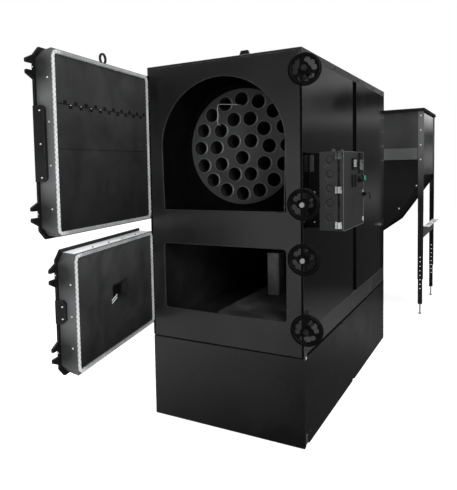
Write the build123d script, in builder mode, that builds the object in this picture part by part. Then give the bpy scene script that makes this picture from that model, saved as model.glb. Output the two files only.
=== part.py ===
"""Solid-fuel boiler with two swing doors, fire tubes, a control box and a fuel hopper behind it.

Millimetres, +Z up, +Y from the door front to the hopper. The origin is on the floor under the middle of
the boiler's base. The doors are modelled open, as they stand at rest.
"""

import os
from math import cos, radians, sin, sqrt

from build123d import *

os.makedirs("parts", exist_ok=True)

# Boiler casing
BODY_WIDTH = 940.0
BODY_DEPTH = 2150.0
CROWN_MARGIN = 98.0
PANEL_THICKNESS = 13.0
PANEL_EDGE = 2.0
PLINTH_HEIGHT = 494.0
PLINTH_JOINT = 8.0
BAND_HEIGHT = 123.0
TOP_SKIRT = 40.0
FRONT_PANEL_DEPTH = 1060.0
JOINT_WIDTH = 110.0
JOINT_DEPTH = 30.0
JOINT_SHEET = 4.0
FRAME_TUBE = 60.0
LEVEL_NOTCH_WIDTH = 60.0
LEVEL_NOTCH_HEIGHT = 14.0
LEVEL_NOTCH_INSETS = (56.0, 1075.0)
CUT_OVERRUN = 5.0

# Front plate and its two openings
PLATE_THICKNESS = 12.0
OPENING_SIDE_MARGIN = 90.0
FURNACE_SILL_HEIGHT = 671.0
FURNACE_HEAD_HEIGHT = 1063.0
FURNACE_CORNER = 18.0
OPENING_BRIDGE = 195.0
ARCH_SIDE_HEIGHT = 364.0

# Smoke chamber, tube sheet, fire tubes and drum
CHAMBER_DEPTH = 300.0
CHAMBER_WALL = 8.0
TUBE_SHEET_MARGIN = 35.0
TUBE_SHEET_THICKNESS = 20.0
SHEET_FIT = 0.3
TUBE_OUTER = 89.0
TUBE_INNER = 83.0
TUBE_PROUD = 4.0
TUBE_FIT = 0.3
RING_RADIUS_SHARES = (0.819, 0.5015, 0.1913)
RING_TUBE_COUNTS = (16, 10, 3)
RING_TURNS_DEG = (-90.0, 72.0, 30.0)
DRUM_REAR_GAP = 250.0
DRUM_WALL = 10.0

# Furnace
FURNACE_REAR_GAP = 388.0
FURNACE_WALL = 10.0
FURNACE_MARGIN = 8.0
HEARTH_WIDTH = 443.0
HEARTH_THICKNESS = 70.0
HEARTH_FRONT_GAP = 40.0
BLOCK_WIDTH = 78.0
BLOCK_DEPTH = 110.0
BLOCK_HEAD_ROOM = 120.0
BLOCK_EDGE = 6.0
BLOCK_WALL_GAP = 55.0
FIRST_BLOCK_Y = 564.0
BLOCK_STEP_X = 105.0
BLOCK_STEP_Y = 210.0
BLOCK_COUNT = 3

# Fittings on the top and the back of the casing
LUG_HEIGHT = 100.0
LUG_BASE = 130.0
LUG_TOP = 44.0
LUG_THICKNESS = 16.0
LUG_HOLE = 18.0
LUG_INSET = 350.0
FLUE_RADIUS = 125.0
FLUE_WALL = 4.0
FLUE_REACH = 130.0
FLUE_BOX_WIDTH = 420.0
FLUE_BOX_DEPTH = 290.0
FLUE_BOX_HEIGHT = 370.0
FLUE_BOX_RISE = 65.0
FLUE_BOX_WALL = 5.0
FLUE_THROAT = 105.0
NOZZLE_RADIUS = 44.5
NOZZLE_WALL = 4.5
NOZZLE_REACH = 120.0
NOZZLE_FLANGE = 100.0
NOZZLE_FLANGE_THICKNESS = 20.0
NOZZLE_FIT = 0.3
FLOW_INSET = 560.0
RETURN_INSET = 300.0
RETURN_RISE = 229.0
FEED_SILL = 6.0
FEED_RADIUS = 100.0
FEED_WALL = 6.0
FEED_FIT = 0.5

# Doors: a fabricated box with an outer plate, a lining and a rope seal
HINGE_INSET = 4.0
HINGE_REACH = 42.0
SEAL_SIDE_INSET = 28.0
SEAL_GAP = 1.0
SEAL_THICKNESS = 18.0
SEAL_WIDTH = 18.0
SEAL_CORNER = 34.0
SEAL_PROUD = 8.0
BAND_WALL = 4.0
DOOR_BOX_DEPTH = 82.0
DOOR_PLATE_THICKNESS = 10.0
DOOR_PLATE_LAP = 15.0
DOOR_PLATE_HINGE_LAP = 4.0
CORNER_FACET = 42.0
CORNER_SEAL_SIDE = 6.0
LINING_RECESS = 10.0
UPPER_SEAL_SILL_LAP = 45.0
UPPER_SEAL_CROWN_LAP = 33.0
LOWER_SEAL_SILL_LAP = 79.0
LOWER_SEAL_HEAD_LAP = 69.0
UPPER_OPEN_DEG = 83.9
LOWER_OPEN_DEG = 78.9
UPPER_CLAMP_INSETS = (99.0, 75.0)
LOWER_CLAMP_INSETS = (98.0, 91.0)
FORK_HEIGHT = 108.0
FORK_REACH = 64.0
FORK_SLOT = 30.0
FORK_ROOT = 16.0
FORK_TIP = 17.0
FORK_TIP_ROUND = 6.0
PORT_WIDTH = 150.0
PORT_HEIGHT = 75.0
PORT_DEPTH = 30.0
EDGE_PLATE_THICKNESS = 5.0
EDGE_PLATE_CORNER = 14.0
UPPER_EDGE_PLATE_REACH = 48.0
LOWER_EDGE_PLATE_REACH = 40.0
LOWER_PLATE_RISE = 15.0
UPPER_EDGE_PLATE_SHARE = 0.622
LOWER_EDGE_PLATE_SHARE = 0.424
EYE_RING_OUTER = 30.0
EYE_RING_INNER = 21.0
EYE_STEM_RADIUS = 9.0
EYE_COLLAR_RADIUS = 17.0
EYE_COLLAR_HEIGHT = 8.0
EYE_STAND = 34.0
EYE_OFFSET = 38.0
EYE_THICKNESS = 10.0

# Door hinges
HINGE_EYE_RADIUS = 14.0
HINGE_EYE_HEIGHT = 42.0
HINGE_PIN_RADIUS = 8.0
HINGE_PIN_FIT = 0.3
HINGE_PLAY = 0.5
HINGE_ARM_WIDTH = 16.0
HINGE_LEAF_THICKNESS = 5.0
HINGE_LEAF_INSET = 12.0
HINGE_WEB = 14.0

# Swing bolts and handwheels that clamp the doors
PIVOT_REACH = 30.0
PIVOT_INSET = 25.0
PIVOT_PIN_RADIUS = 7.0
PIVOT_FIT = 0.3
BOLT_EYE_RADIUS = 17.0
BOLT_EYE_HEIGHT = 24.0
BOLT_RADIUS = 11.0
BOLT_LENGTH = 176.0
BOLT_OVERHANG = 40.0
BOLT_PLAY = 0.5
CLEVIS_LUG = 10.0
CLEVIS_WIDTH = 34.0
CLEVIS_BASE_THICKNESS = 5.0
CLEVIS_BASE_HEIGHT = 92.0
CLEVIS_BASE_DEPTH = 58.0
PIN_HEAD_HEIGHT = 6.0
UPPER_BOLT_DEG = (7.0, 10.5)
LOWER_BOLT_DEG = (11.0, 7.0)
UPPER_WHEEL_TURN_DEG = (50.0, 100.0)
LOWER_WHEEL_TURN_DEG = (97.0, 50.0)
WHEEL_RADIUS = 80.0
RIM_RADIUS = 11.0
RIM_SIDES = 8
WEB_THICKNESS = 11.0
WINDOW_LOBE_RADIUS = 14.0
WINDOW_LOBE_PLACE_SHARE = 0.58
WINDOW_LOBE_SPREAD_DEG = 33.0
WINDOW_CORNER_DEG = 42.0
WINDOW_APEX_SHARE = 0.33
SPOKES = 3
HUB_RADIUS = 20.0
HUB_BACK = 20.0
HUB_FRONT = 14.0
WHEEL_FIT = 0.3
NUT_RADIUS = 17.0
NUT_THICKNESS = 14.0
NUT_SIDES = 6
NUT_PLAY = 0.5

# Control box on the right side
BOX_STAND_OFF = 55.0
BOX_BODY_DEPTH = 100.0
BOX_LID_DEPTH = 22.0
BOX_WALL = 3.0
BOX_INSET = 110.0
BOX_LENGTH = 458.0
BOX_BOTTOM = 1156.0
BOX_HEIGHT = 413.0
BOX_EDGE = 4.0
LID_GAP = 0.5
LID_HINGE_RADIUS = 7.0
LID_HINGE_HEIGHT = 34.0
LID_HINGE_SHARES = (0.075, 0.52, 0.945)
LID_HINGE_PIN = 3.0
LID_HINGE_FIT = 0.3
LID_HINGE_PLAY = 0.5
BRACKET_SHEET = 4.0
BRACKET_MARGIN = 14.0
BRACKET_FLANGE = 30.0
KNOCKOUT_RADIUS = 17.0
KNOCKOUT_DEPTH = 1.2
KNOCKOUT_SHARES = (0.14, 0.32, 0.5, 0.68, 0.86)
DISPLAY_SIZE = (88.0, 62.0, 8.0)
DISPLAY_PLACE_SHARE = (0.48, 0.84)
METER_SIZE = (96.0, 84.0, 7.0)
METER_PLACE_SHARE = (0.82, 0.815)
SWITCH_SIZE = (96.0, 26.0, 6.0)
SWITCH_PLACE_SHARE = (0.83, 0.955)
FUSE_SIZE = (22.0, 68.0, 6.0)
FUSE_PLACE_SHARES = ((0.40, 0.62), (0.55, 0.62))
BUTTON_RADIUS = 15.0
BUTTON_COLLAR = 19.0
BUTTON_COLLAR_HEIGHT = 5.0
BUTTON_HEIGHT = 14.0
BUTTON_PLACE_SHARES = ((0.73, 0.63), (0.92, 0.64))
LOCK_RADIUS = 12.0
LOCK_HEIGHT = 16.0
LOCK_PLACE_SHARE = (0.95, 0.42)
CONTROL_EDGE = 2.0

# Fuel hopper
HOPPER_HALF_WIDTH = 660.0
HOPPER_GAP = 919.0
HOPPER_DEPTH = 930.0
HOPPER_TOP = 2022.0
HOPPER_WALL = 5.0
FUNNEL_TOP = 1375.0
FUNNEL_WAIST_HALF = 320.0
FUNNEL_WAIST_RISE = 170.0
FUNNEL_OUTLET_HALF = 90.0
FUNNEL_FLANGE = 25.0
RAIL_BOTTOM = 1532.0
RAIL_HEIGHT = 112.0
RAIL_THICKNESS = 6.0
LID_LAP = 16.0
LID_SKIRT = 26.0
LID_SHEET = 5.0
LEG_FLANGE = 47.0
LEG_SHEET = 6.0
LEG_END = 350.0
SLIDE_FLANGE = 38.0
SLIDE_SHEET = 5.0
SLIDE_TOP = 640.0
SLIDE_END = 100.0
LEG_HOLE_RADIUS = 4.5
LEG_HOLE_LOWEST = 254.0
LEG_HOLE_PITCH = 45.0
LEG_HOLE_COUNT = 8
FOOT_ROD_RADIUS = 7.0
FOOT_PAD_RADIUS = 15.0
FOOT_PAD_HEIGHT = 8.0
FOOT_SHOE = 8.0
TIE_BOTTOM = 760.0
TIE_HEIGHT = 110.0
TIE_SHEET = 5.0
TIE_SHELF = 60.0
INLET_HALF_WIDTH = 110.0
INLET_WALL = 6.0
INLET_NECK = 10.0
MOTOR_RADIUS = 60.0
MOTOR_LENGTH = 190.0
GEARBOX_SIZE = (180.0, 130.0, 210.0)
GEARBOX_EDGE = 6.0
FEED_TAIL = 40.0
FEED_FLANGE_RADIUS = 118.0
FEED_FLANGE_THICKNESS = 10.0

# Places that follow from the sizes above
SIDE_X = BODY_WIDTH / 2
INNER_X = SIDE_X - PANEL_THICKNESS
FRONT_Y = -BODY_DEPTH / 2
REAR_Y = BODY_DEPTH / 2
BAND_TOP = PLINTH_HEIGHT + BAND_HEIGHT
OPENING_HALF_WIDTH = SIDE_X - OPENING_SIDE_MARGIN
ARCH_SILL_HEIGHT = FURNACE_HEAD_HEIGHT + OPENING_BRIDGE
ARCH_CENTRE_HEIGHT = ARCH_SILL_HEIGHT + ARCH_SIDE_HEIGHT
BODY_HEIGHT = ARCH_CENTRE_HEIGHT + OPENING_HALF_WIDTH + CROWN_MARGIN
ROOF_Z = BODY_HEIGHT - PANEL_THICKNESS
SKIRT_Z = BODY_HEIGHT - TOP_SKIRT
PLATE_BACK_Y = FRONT_Y + PLATE_THICKNESS
SHEET_FRONT_Y = FRONT_Y + CHAMBER_DEPTH
SHEET_RADIUS = OPENING_HALF_WIDTH - TUBE_SHEET_MARGIN
DRUM_FRONT_Y = SHEET_FRONT_Y + TUBE_SHEET_THICKNESS
DRUM_RADIUS = SHEET_RADIUS + DRUM_WALL
DRUM_LENGTH = REAR_Y - DRUM_REAR_GAP - DRUM_FRONT_Y
FURNACE_DEPTH = REAR_Y - FURNACE_REAR_GAP - PLATE_BACK_Y
BLOCK_HEIGHT = FURNACE_HEAD_HEIGHT - FURNACE_SILL_HEIGHT - BLOCK_HEAD_ROOM
FLUE_BOX_MIDDLE = ARCH_CENTRE_HEIGHT + FLUE_BOX_RISE
FLUE_BOX_TOP = FLUE_BOX_MIDDLE + FLUE_BOX_HEIGHT / 2
FLUE_Y = REAR_Y + FLUE_BOX_DEPTH / 2
FLOW_Y = REAR_Y - FLOW_INSET
RETURN_Y = REAR_Y - RETURN_INSET
RETURN_HEIGHT = FURNACE_SILL_HEIGHT + RETURN_RISE
FEED_AXIS_HEIGHT = PLINTH_HEIGHT + FEED_SILL + FEED_RADIUS
HINGE_X = HINGE_INSET - SIDE_X
SEAL_HALF_WIDTH = SIDE_X - SEAL_SIDE_INSET
UPPER_SEAL_LOW = ARCH_SILL_HEIGHT - UPPER_SEAL_SILL_LAP
UPPER_SEAL_HIGH = ARCH_CENTRE_HEIGHT + OPENING_HALF_WIDTH + UPPER_SEAL_CROWN_LAP
LOWER_SEAL_LOW = FURNACE_SILL_HEIGHT - LOWER_SEAL_SILL_LAP
LOWER_SEAL_HIGH = FURNACE_HEAD_HEIGHT + LOWER_SEAL_HEAD_LAP
PIVOT_X = SIDE_X + PIVOT_REACH
PIVOT_Y = FRONT_Y + PIVOT_INSET
DOOR_PLATE_V = SEAL_GAP + SEAL_PROUD + DOOR_BOX_DEPTH
DOOR_RIM_V = SEAL_GAP + SEAL_PROUD
DOOR_BOX_LEFT = -SEAL_HALF_WIDTH - BAND_WALL - HINGE_X
DOOR_BOX_RIGHT = SEAL_HALF_WIDTH + BAND_WALL - HINGE_X
BOX_BACK_X = SIDE_X + BOX_STAND_OFF
BOX_SEAM_X = BOX_BACK_X + BOX_BODY_DEPTH
LID_BACK_X = BOX_SEAM_X + LID_GAP
LID_FACE_X = LID_BACK_X + BOX_LID_DEPTH
BOX_FRONT_Y = FRONT_Y + BOX_INSET
BOX_REAR_Y = BOX_FRONT_Y + BOX_LENGTH
BOX_TOP = BOX_BOTTOM + BOX_HEIGHT
HOPPER_FRONT = REAR_Y + HOPPER_GAP
HOPPER_REAR = HOPPER_FRONT + HOPPER_DEPTH
HOPPER_MIDDLE = HOPPER_FRONT + HOPPER_DEPTH / 2
FUNNEL_OUTLET_HEIGHT = FEED_AXIS_HEIGHT + FEED_RADIUS + INLET_NECK
FUNNEL_WAIST_HEIGHT = FUNNEL_OUTLET_HEIGHT + FUNNEL_WAIST_RISE
UPPER_LEAN = (HOPPER_HALF_WIDTH - FUNNEL_WAIST_HALF) / (FUNNEL_TOP - FUNNEL_WAIST_HEIGHT)
LOWER_LEAN = (FUNNEL_WAIST_HALF - FUNNEL_OUTLET_HALF) / FUNNEL_WAIST_RISE
UPPER_SLANT = sqrt(1 + UPPER_LEAN**2)
LOWER_SLANT = sqrt(1 + LOWER_LEAN**2)
SLOPE_WALL = HOPPER_WALL * LOWER_SLANT
PLINTH_TOP = PLINTH_HEIGHT - PLINTH_JOINT


def slab(low, high, mode=Mode.ADD):
    """Box between two opposite corners."""
    size = [b - a for a, b in zip(low, high)]
    middle = [(a + b) / 2 for a, b in zip(low, high)]
    with Locations(tuple(middle)):
        Box(*size, mode=mode)


def facing_front(y):
    """Upright plane at depth y, with its X to the right, its Y up and its normal to the front."""
    return Plane.XZ.offset(-y)


def facing_left(x):
    """Upright plane at x, with its X to the front, its Y up and its normal to the left."""
    return Plane(origin=(x, 0, 0), x_dir=(0, -1, 0), z_dir=(-1, 0, 0))


def keep(builder, name):
    """Label a finished piece and write it to its own file."""
    builder.part.label = name
    export_step(builder.part, f"parts/{name}.step")


# Plinth panels, with notches at the floor on the long sides and an open joint above them
with BuildPart() as plinth_front:
    slab((-SIDE_X, FRONT_Y, 0), (SIDE_X, FRONT_Y + PANEL_THICKNESS, PLINTH_TOP))
    chamfer(plinth_front.faces().sort_by(Axis.Y)[0].edges(), PANEL_EDGE)
keep(plinth_front, "plinth_front")

with BuildPart() as plinth_rear:
    slab((-SIDE_X, REAR_Y - PANEL_THICKNESS, 0), (SIDE_X, REAR_Y, PLINTH_TOP))
    chamfer(plinth_rear.faces().sort_by(Axis.Y)[-1].edges(), PANEL_EDGE)
keep(plinth_rear, "plinth_rear")

with BuildPart() as plinth_sides:
    slab((INNER_X, FRONT_Y + PANEL_THICKNESS, 0), (SIDE_X, REAR_Y - PANEL_THICKNESS, PLINTH_TOP))
    chamfer(plinth_sides.faces().sort_by(Axis.X)[-1].edges(), PANEL_EDGE)
    for inset in LEVEL_NOTCH_INSETS:
        slab(
            (INNER_X - CUT_OVERRUN, FRONT_Y + inset - LEVEL_NOTCH_WIDTH / 2, -CUT_OVERRUN),
            (SIDE_X + CUT_OVERRUN, FRONT_Y + inset + LEVEL_NOTCH_WIDTH / 2, LEVEL_NOTCH_HEIGHT),
            mode=Mode.SUBTRACT,
        )
    mirror(about=Plane.YZ)
keep(plinth_sides, "plinth_sides")

# Welded frame of square tube behind the plinth panels, with a cross rail at the middle
with BuildPart() as base_frame:
    for bottom in (0, PLINTH_HEIGHT - FRAME_TUBE):
        with BuildSketch(Plane.XY.offset(bottom)):
            Rectangle(2 * INNER_X, BODY_DEPTH - 2 * PANEL_THICKNESS)
            Rectangle(
                2 * (INNER_X - FRAME_TUBE),
                BODY_DEPTH - 2 * (PANEL_THICKNESS + FRAME_TUBE),
                mode=Mode.SUBTRACT,
            )
            Rectangle(2 * INNER_X, FRAME_TUBE)
        extrude(amount=FRAME_TUBE)
    with BuildSketch(Plane.XY.offset(FRAME_TUBE)):
        with GridLocations(
            2 * INNER_X - FRAME_TUBE, BODY_DEPTH - 2 * PANEL_THICKNESS - FRAME_TUBE, 2, 2
        ):
            Rectangle(FRAME_TUBE, FRAME_TUBE)
    extrude(amount=PLINTH_HEIGHT - 2 * FRAME_TUBE)
keep(base_frame, "base_frame")

# Casing above the plinth
with BuildPart() as side_bands:
    slab((INNER_X, FRONT_Y, PLINTH_HEIGHT), (SIDE_X, REAR_Y, BAND_TOP))
    chamfer(side_bands.faces().sort_by(Axis.X)[-1].edges(), PANEL_EDGE)
    mirror(about=Plane.YZ)
keep(side_bands, "side_bands")

with BuildPart() as front_side_panels:
    slab((INNER_X, FRONT_Y, BAND_TOP), (SIDE_X, FRONT_Y + FRONT_PANEL_DEPTH, SKIRT_Z))
    chamfer(front_side_panels.faces().sort_by(Axis.X)[-1].edges(), PANEL_EDGE)
    mirror(about=Plane.YZ)
keep(front_side_panels, "front_side_panels")

with BuildPart() as rear_side_panels:
    slab((INNER_X, FRONT_Y + FRONT_PANEL_DEPTH + JOINT_WIDTH, BAND_TOP), (SIDE_X, REAR_Y, SKIRT_Z))
    chamfer(rear_side_panels.faces().sort_by(Axis.X)[-1].edges(), PANEL_EDGE)
    mirror(about=Plane.YZ)
    with BuildSketch(facing_left(-INNER_X)):
        with Locations((-RETURN_Y, RETURN_HEIGHT)):
            Circle(NOZZLE_RADIUS + FEED_FIT)
    extrude(amount=PANEL_THICKNESS, mode=Mode.SUBTRACT)
keep(rear_side_panels, "rear_side_panels")

with BuildPart() as joint_channels:
    with BuildSketch(Plane.XY.offset(BAND_TOP)):
        joint_y = FRONT_Y + FRONT_PANEL_DEPTH + JOINT_WIDTH / 2
        with Locations((SIDE_X - JOINT_DEPTH / 2, joint_y)):
            Rectangle(JOINT_DEPTH, JOINT_WIDTH)
        with Locations((SIDE_X - JOINT_DEPTH / 2 + JOINT_SHEET, joint_y)):
            Rectangle(JOINT_DEPTH, JOINT_WIDTH - 2 * JOINT_SHEET, mode=Mode.SUBTRACT)
    extrude(amount=SKIRT_Z - BAND_TOP)
    mirror(about=Plane.YZ)
keep(joint_channels, "joint_channels")

with BuildPart() as top_panel:
    with BuildSketch(facing_front(FRONT_Y)):
        with BuildLine():
            Polyline(
                (-SIDE_X, SKIRT_Z),
                (-SIDE_X, BODY_HEIGHT),
                (SIDE_X, BODY_HEIGHT),
                (SIDE_X, SKIRT_Z),
                (INNER_X, SKIRT_Z),
                (INNER_X, ROOF_Z),
                (-INNER_X, ROOF_Z),
                (-INNER_X, SKIRT_Z),
                close=True,
            )
        make_face()
    extrude(amount=-BODY_DEPTH)
    chamfer(top_panel.faces().sort_by(Axis.Z)[-1].edges(), PANEL_EDGE)
    with BuildSketch(Plane.XY.offset(ROOF_Z)):
        with Locations((0, FLOW_Y)):
            Circle(NOZZLE_RADIUS + FEED_FIT)
    extrude(amount=PANEL_THICKNESS, mode=Mode.SUBTRACT)
keep(top_panel, "top_panel")

with BuildPart() as front_plate:
    with BuildSketch(facing_front(FRONT_Y)):
        with Locations((0, (PLINTH_HEIGHT + ROOF_Z) / 2)):
            Rectangle(2 * INNER_X, ROOF_Z - PLINTH_HEIGHT)
        with Locations((0, ARCH_CENTRE_HEIGHT)):
            Circle(OPENING_HALF_WIDTH, mode=Mode.SUBTRACT)
        with Locations((0, ARCH_SILL_HEIGHT - OPENING_HALF_WIDTH / 2)):
            Rectangle(2 * OPENING_HALF_WIDTH, OPENING_HALF_WIDTH)
        with Locations((0, (ARCH_SILL_HEIGHT + ARCH_CENTRE_HEIGHT) / 2)):
            Rectangle(
                2 * OPENING_HALF_WIDTH, ARCH_CENTRE_HEIGHT - ARCH_SILL_HEIGHT, mode=Mode.SUBTRACT
            )
        with Locations((0, (FURNACE_SILL_HEIGHT + FURNACE_HEAD_HEIGHT) / 2)):
            RectangleRounded(
                2 * OPENING_HALF_WIDTH,
                FURNACE_HEAD_HEIGHT - FURNACE_SILL_HEIGHT,
                FURNACE_CORNER,
                mode=Mode.SUBTRACT,
            )
    extrude(amount=-PLATE_THICKNESS)
keep(front_plate, "front_plate")

with BuildPart() as rear_panel:
    with BuildSketch(facing_front(REAR_Y - PANEL_THICKNESS)):
        with Locations((0, (PLINTH_HEIGHT + ROOF_Z) / 2)):
            Rectangle(2 * INNER_X, ROOF_Z - PLINTH_HEIGHT)
        with Locations((0, FLUE_BOX_MIDDLE)):
            Circle(FLUE_THROAT, mode=Mode.SUBTRACT)
        with Locations((0, FEED_AXIS_HEIGHT)):
            Circle(FEED_RADIUS + FEED_FIT, mode=Mode.SUBTRACT)
    extrude(amount=-PANEL_THICKNESS)
keep(rear_panel, "rear_panel")


# Smoke chamber behind the arch, open to the front, with the tube sheet in its back wall
def arch(grow):
    """Sketch of the arch opening, grown by a wall on its sides, crown and sill."""
    half = OPENING_HALF_WIDTH + grow
    low = ARCH_SILL_HEIGHT - grow
    with BuildSketch() as outline:
        with Locations((0, ARCH_CENTRE_HEIGHT)):
            Circle(half)
        with Locations((0, low - half / 2)):
            Rectangle(2 * half, half, mode=Mode.SUBTRACT)
        with Locations((0, (low + ARCH_CENTRE_HEIGHT) / 2)):
            Rectangle(2 * half, ARCH_CENTRE_HEIGHT - low)
    return outline.sketch


with BuildPart() as smoke_chamber:
    with BuildSketch(facing_front(PLATE_BACK_Y)):
        add(arch(CHAMBER_WALL))
    extrude(amount=PLATE_BACK_Y - DRUM_FRONT_Y)
    with BuildSketch(facing_front(PLATE_BACK_Y)):
        add(arch(0))
    extrude(amount=PLATE_BACK_Y - SHEET_FRONT_Y, mode=Mode.SUBTRACT)
    with BuildSketch(facing_front(SHEET_FRONT_Y)):
        with Locations((0, ARCH_CENTRE_HEIGHT)):
            Circle(SHEET_RADIUS + SHEET_FIT)
    extrude(amount=-TUBE_SHEET_THICKNESS, mode=Mode.SUBTRACT)
keep(smoke_chamber, "smoke_chamber")


def tube_circles(radius, mode):
    """One circle for each fire tube, on the three rings of the tube sheet."""
    for share, count, first_angle in zip(RING_RADIUS_SHARES, RING_TUBE_COUNTS, RING_TURNS_DEG):
        with Locations((0, ARCH_CENTRE_HEIGHT)):
            with PolarLocations(share * SHEET_RADIUS, count, first_angle):
                Circle(radius, mode=mode)


with BuildPart() as tube_sheet:
    with BuildSketch(facing_front(SHEET_FRONT_Y)):
        with Locations((0, ARCH_CENTRE_HEIGHT)):
            Circle(SHEET_RADIUS)
        tube_circles(TUBE_OUTER / 2 + TUBE_FIT, Mode.SUBTRACT)
    extrude(amount=-TUBE_SHEET_THICKNESS)
keep(tube_sheet, "tube_sheet")

with BuildPart() as fire_tubes:
    with BuildSketch(facing_front(SHEET_FRONT_Y - TUBE_PROUD)):
        tube_circles(TUBE_OUTER / 2, Mode.ADD)
        tube_circles(TUBE_INNER / 2, Mode.SUBTRACT)
    extrude(amount=-(TUBE_PROUD + TUBE_SHEET_THICKNESS + DRUM_LENGTH))
keep(fire_tubes, "fire_tubes")

with BuildPart() as boiler_drum:
    with BuildSketch(facing_front(DRUM_FRONT_Y)):
        with Locations((0, ARCH_CENTRE_HEIGHT)):
            Circle(DRUM_RADIUS)
            Circle(DRUM_RADIUS - DRUM_WALL, mode=Mode.SUBTRACT)
    extrude(amount=-DRUM_LENGTH)
    with BuildSketch(facing_front(DRUM_FRONT_Y + DRUM_LENGTH)):
        with Locations((0, ARCH_CENTRE_HEIGHT)):
            Circle(DRUM_RADIUS)
    extrude(amount=-DRUM_WALL)
keep(boiler_drum, "boiler_drum")

# Furnace behind the lower opening
FURNACE_LEFT = -OPENING_HALF_WIDTH - FURNACE_MARGIN
FURNACE_FLOOR = FURNACE_SILL_HEIGHT - HEARTH_THICKNESS
FURNACE_CROWN = FURNACE_HEAD_HEIGHT + FURNACE_MARGIN
with BuildPart() as furnace_box:
    slab(
        (FURNACE_LEFT - FURNACE_WALL, PLATE_BACK_Y, FURNACE_FLOOR - FURNACE_WALL),
        (-FURNACE_LEFT + FURNACE_WALL, PLATE_BACK_Y + FURNACE_DEPTH, FURNACE_CROWN + FURNACE_WALL),
    )
    slab(
        (FURNACE_LEFT, PLATE_BACK_Y - CUT_OVERRUN, FURNACE_FLOOR),
        (-FURNACE_LEFT, PLATE_BACK_Y + FURNACE_DEPTH - FURNACE_WALL, FURNACE_CROWN),
        mode=Mode.SUBTRACT,
    )
keep(furnace_box, "furnace_box")

with BuildPart() as hearth:
    slab(
        (-FURNACE_LEFT - HEARTH_WIDTH, PLATE_BACK_Y + HEARTH_FRONT_GAP, FURNACE_FLOOR),
        (-FURNACE_LEFT, PLATE_BACK_Y + FURNACE_DEPTH - FURNACE_WALL, FURNACE_SILL_HEIGHT),
    )
keep(hearth, "hearth")

with BuildPart() as refractory_blocks:
    for index in range(BLOCK_COUNT):
        right = -FURNACE_LEFT - BLOCK_WALL_GAP - (BLOCK_COUNT - 1 - index) * BLOCK_STEP_X
        near = FRONT_Y + FIRST_BLOCK_Y + index * BLOCK_STEP_Y
        slab(
            (right - BLOCK_WIDTH, near, FURNACE_SILL_HEIGHT),
            (right, near + BLOCK_DEPTH, FURNACE_SILL_HEIGHT + BLOCK_HEIGHT),
        )
    chamfer(refractory_blocks.edges().filter_by(Axis.Z), BLOCK_EDGE)
keep(refractory_blocks, "refractory_blocks")

# Lifting lugs on the roof, flue box with its collar at the back, and the water connections
with BuildPart() as lifting_lugs:
    with BuildSketch(facing_front(FRONT_Y + LUG_INSET)):
        with BuildLine():
            Polyline(
                (-LUG_BASE / 2, BODY_HEIGHT),
                (LUG_BASE / 2, BODY_HEIGHT),
                (LUG_TOP / 2, BODY_HEIGHT + LUG_HEIGHT),
                (-LUG_TOP / 2, BODY_HEIGHT + LUG_HEIGHT),
                close=True,
            )
        make_face()
        with Locations((0, BODY_HEIGHT + LUG_HEIGHT - LUG_TOP)):
            Circle(LUG_HOLE, mode=Mode.SUBTRACT)
    extrude(amount=-LUG_THICKNESS)
    mirror(about=Plane.XZ)
keep(lifting_lugs, "lifting_lugs")

with BuildPart() as flue_box:
    slab(
        (-FLUE_BOX_WIDTH / 2, REAR_Y, FLUE_BOX_MIDDLE - FLUE_BOX_HEIGHT / 2),
        (FLUE_BOX_WIDTH / 2, REAR_Y + FLUE_BOX_DEPTH, FLUE_BOX_TOP),
    )
    slab(
        (
            FLUE_BOX_WALL - FLUE_BOX_WIDTH / 2,
            REAR_Y,
            FLUE_BOX_MIDDLE - FLUE_BOX_HEIGHT / 2 + FLUE_BOX_WALL,
        ),
        (
            FLUE_BOX_WIDTH / 2 - FLUE_BOX_WALL,
            REAR_Y + FLUE_BOX_DEPTH - FLUE_BOX_WALL,
            FLUE_BOX_TOP - FLUE_BOX_WALL,
        ),
        mode=Mode.SUBTRACT,
    )
    with BuildSketch(Plane.XY.offset(FLUE_BOX_TOP - FLUE_BOX_WALL)):
        with Locations((0, FLUE_Y)):
            Circle(FLUE_RADIUS - FLUE_WALL)
    extrude(amount=FLUE_BOX_WALL, mode=Mode.SUBTRACT)
keep(flue_box, "flue_box")

with BuildPart() as flue_outlet:
    with BuildSketch(Plane.XY.offset(FLUE_BOX_TOP)):
        with Locations((0, FLUE_Y)):
            Circle(FLUE_RADIUS)
            Circle(FLUE_RADIUS - FLUE_WALL, mode=Mode.SUBTRACT)
    extrude(amount=FLUE_REACH)
keep(flue_outlet, "flue_outlet")

NOZZLE_BASES = (
    Plane.XY.offset(ROOF_Z).shift_origin((0, FLOW_Y, ROOF_Z)),
    facing_left(-INNER_X).shift_origin((-INNER_X, RETURN_Y, RETURN_HEIGHT)),
)
NOZZLE_LENGTH = PANEL_THICKNESS + NOZZLE_REACH
with BuildPart() as water_nozzles:
    for base in NOZZLE_BASES:
        with BuildSketch(base):
            Circle(NOZZLE_RADIUS)
            Circle(NOZZLE_RADIUS - NOZZLE_WALL, mode=Mode.SUBTRACT)
        extrude(amount=NOZZLE_LENGTH)
        with BuildSketch(base.offset(NOZZLE_LENGTH - NOZZLE_FLANGE_THICKNESS)):
            Circle(NOZZLE_FLANGE)
            Circle(NOZZLE_RADIUS + NOZZLE_FIT, mode=Mode.SUBTRACT)
        extrude(amount=NOZZLE_FLANGE_THICKNESS)
keep(water_nozzles, "water_nozzles")


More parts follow.
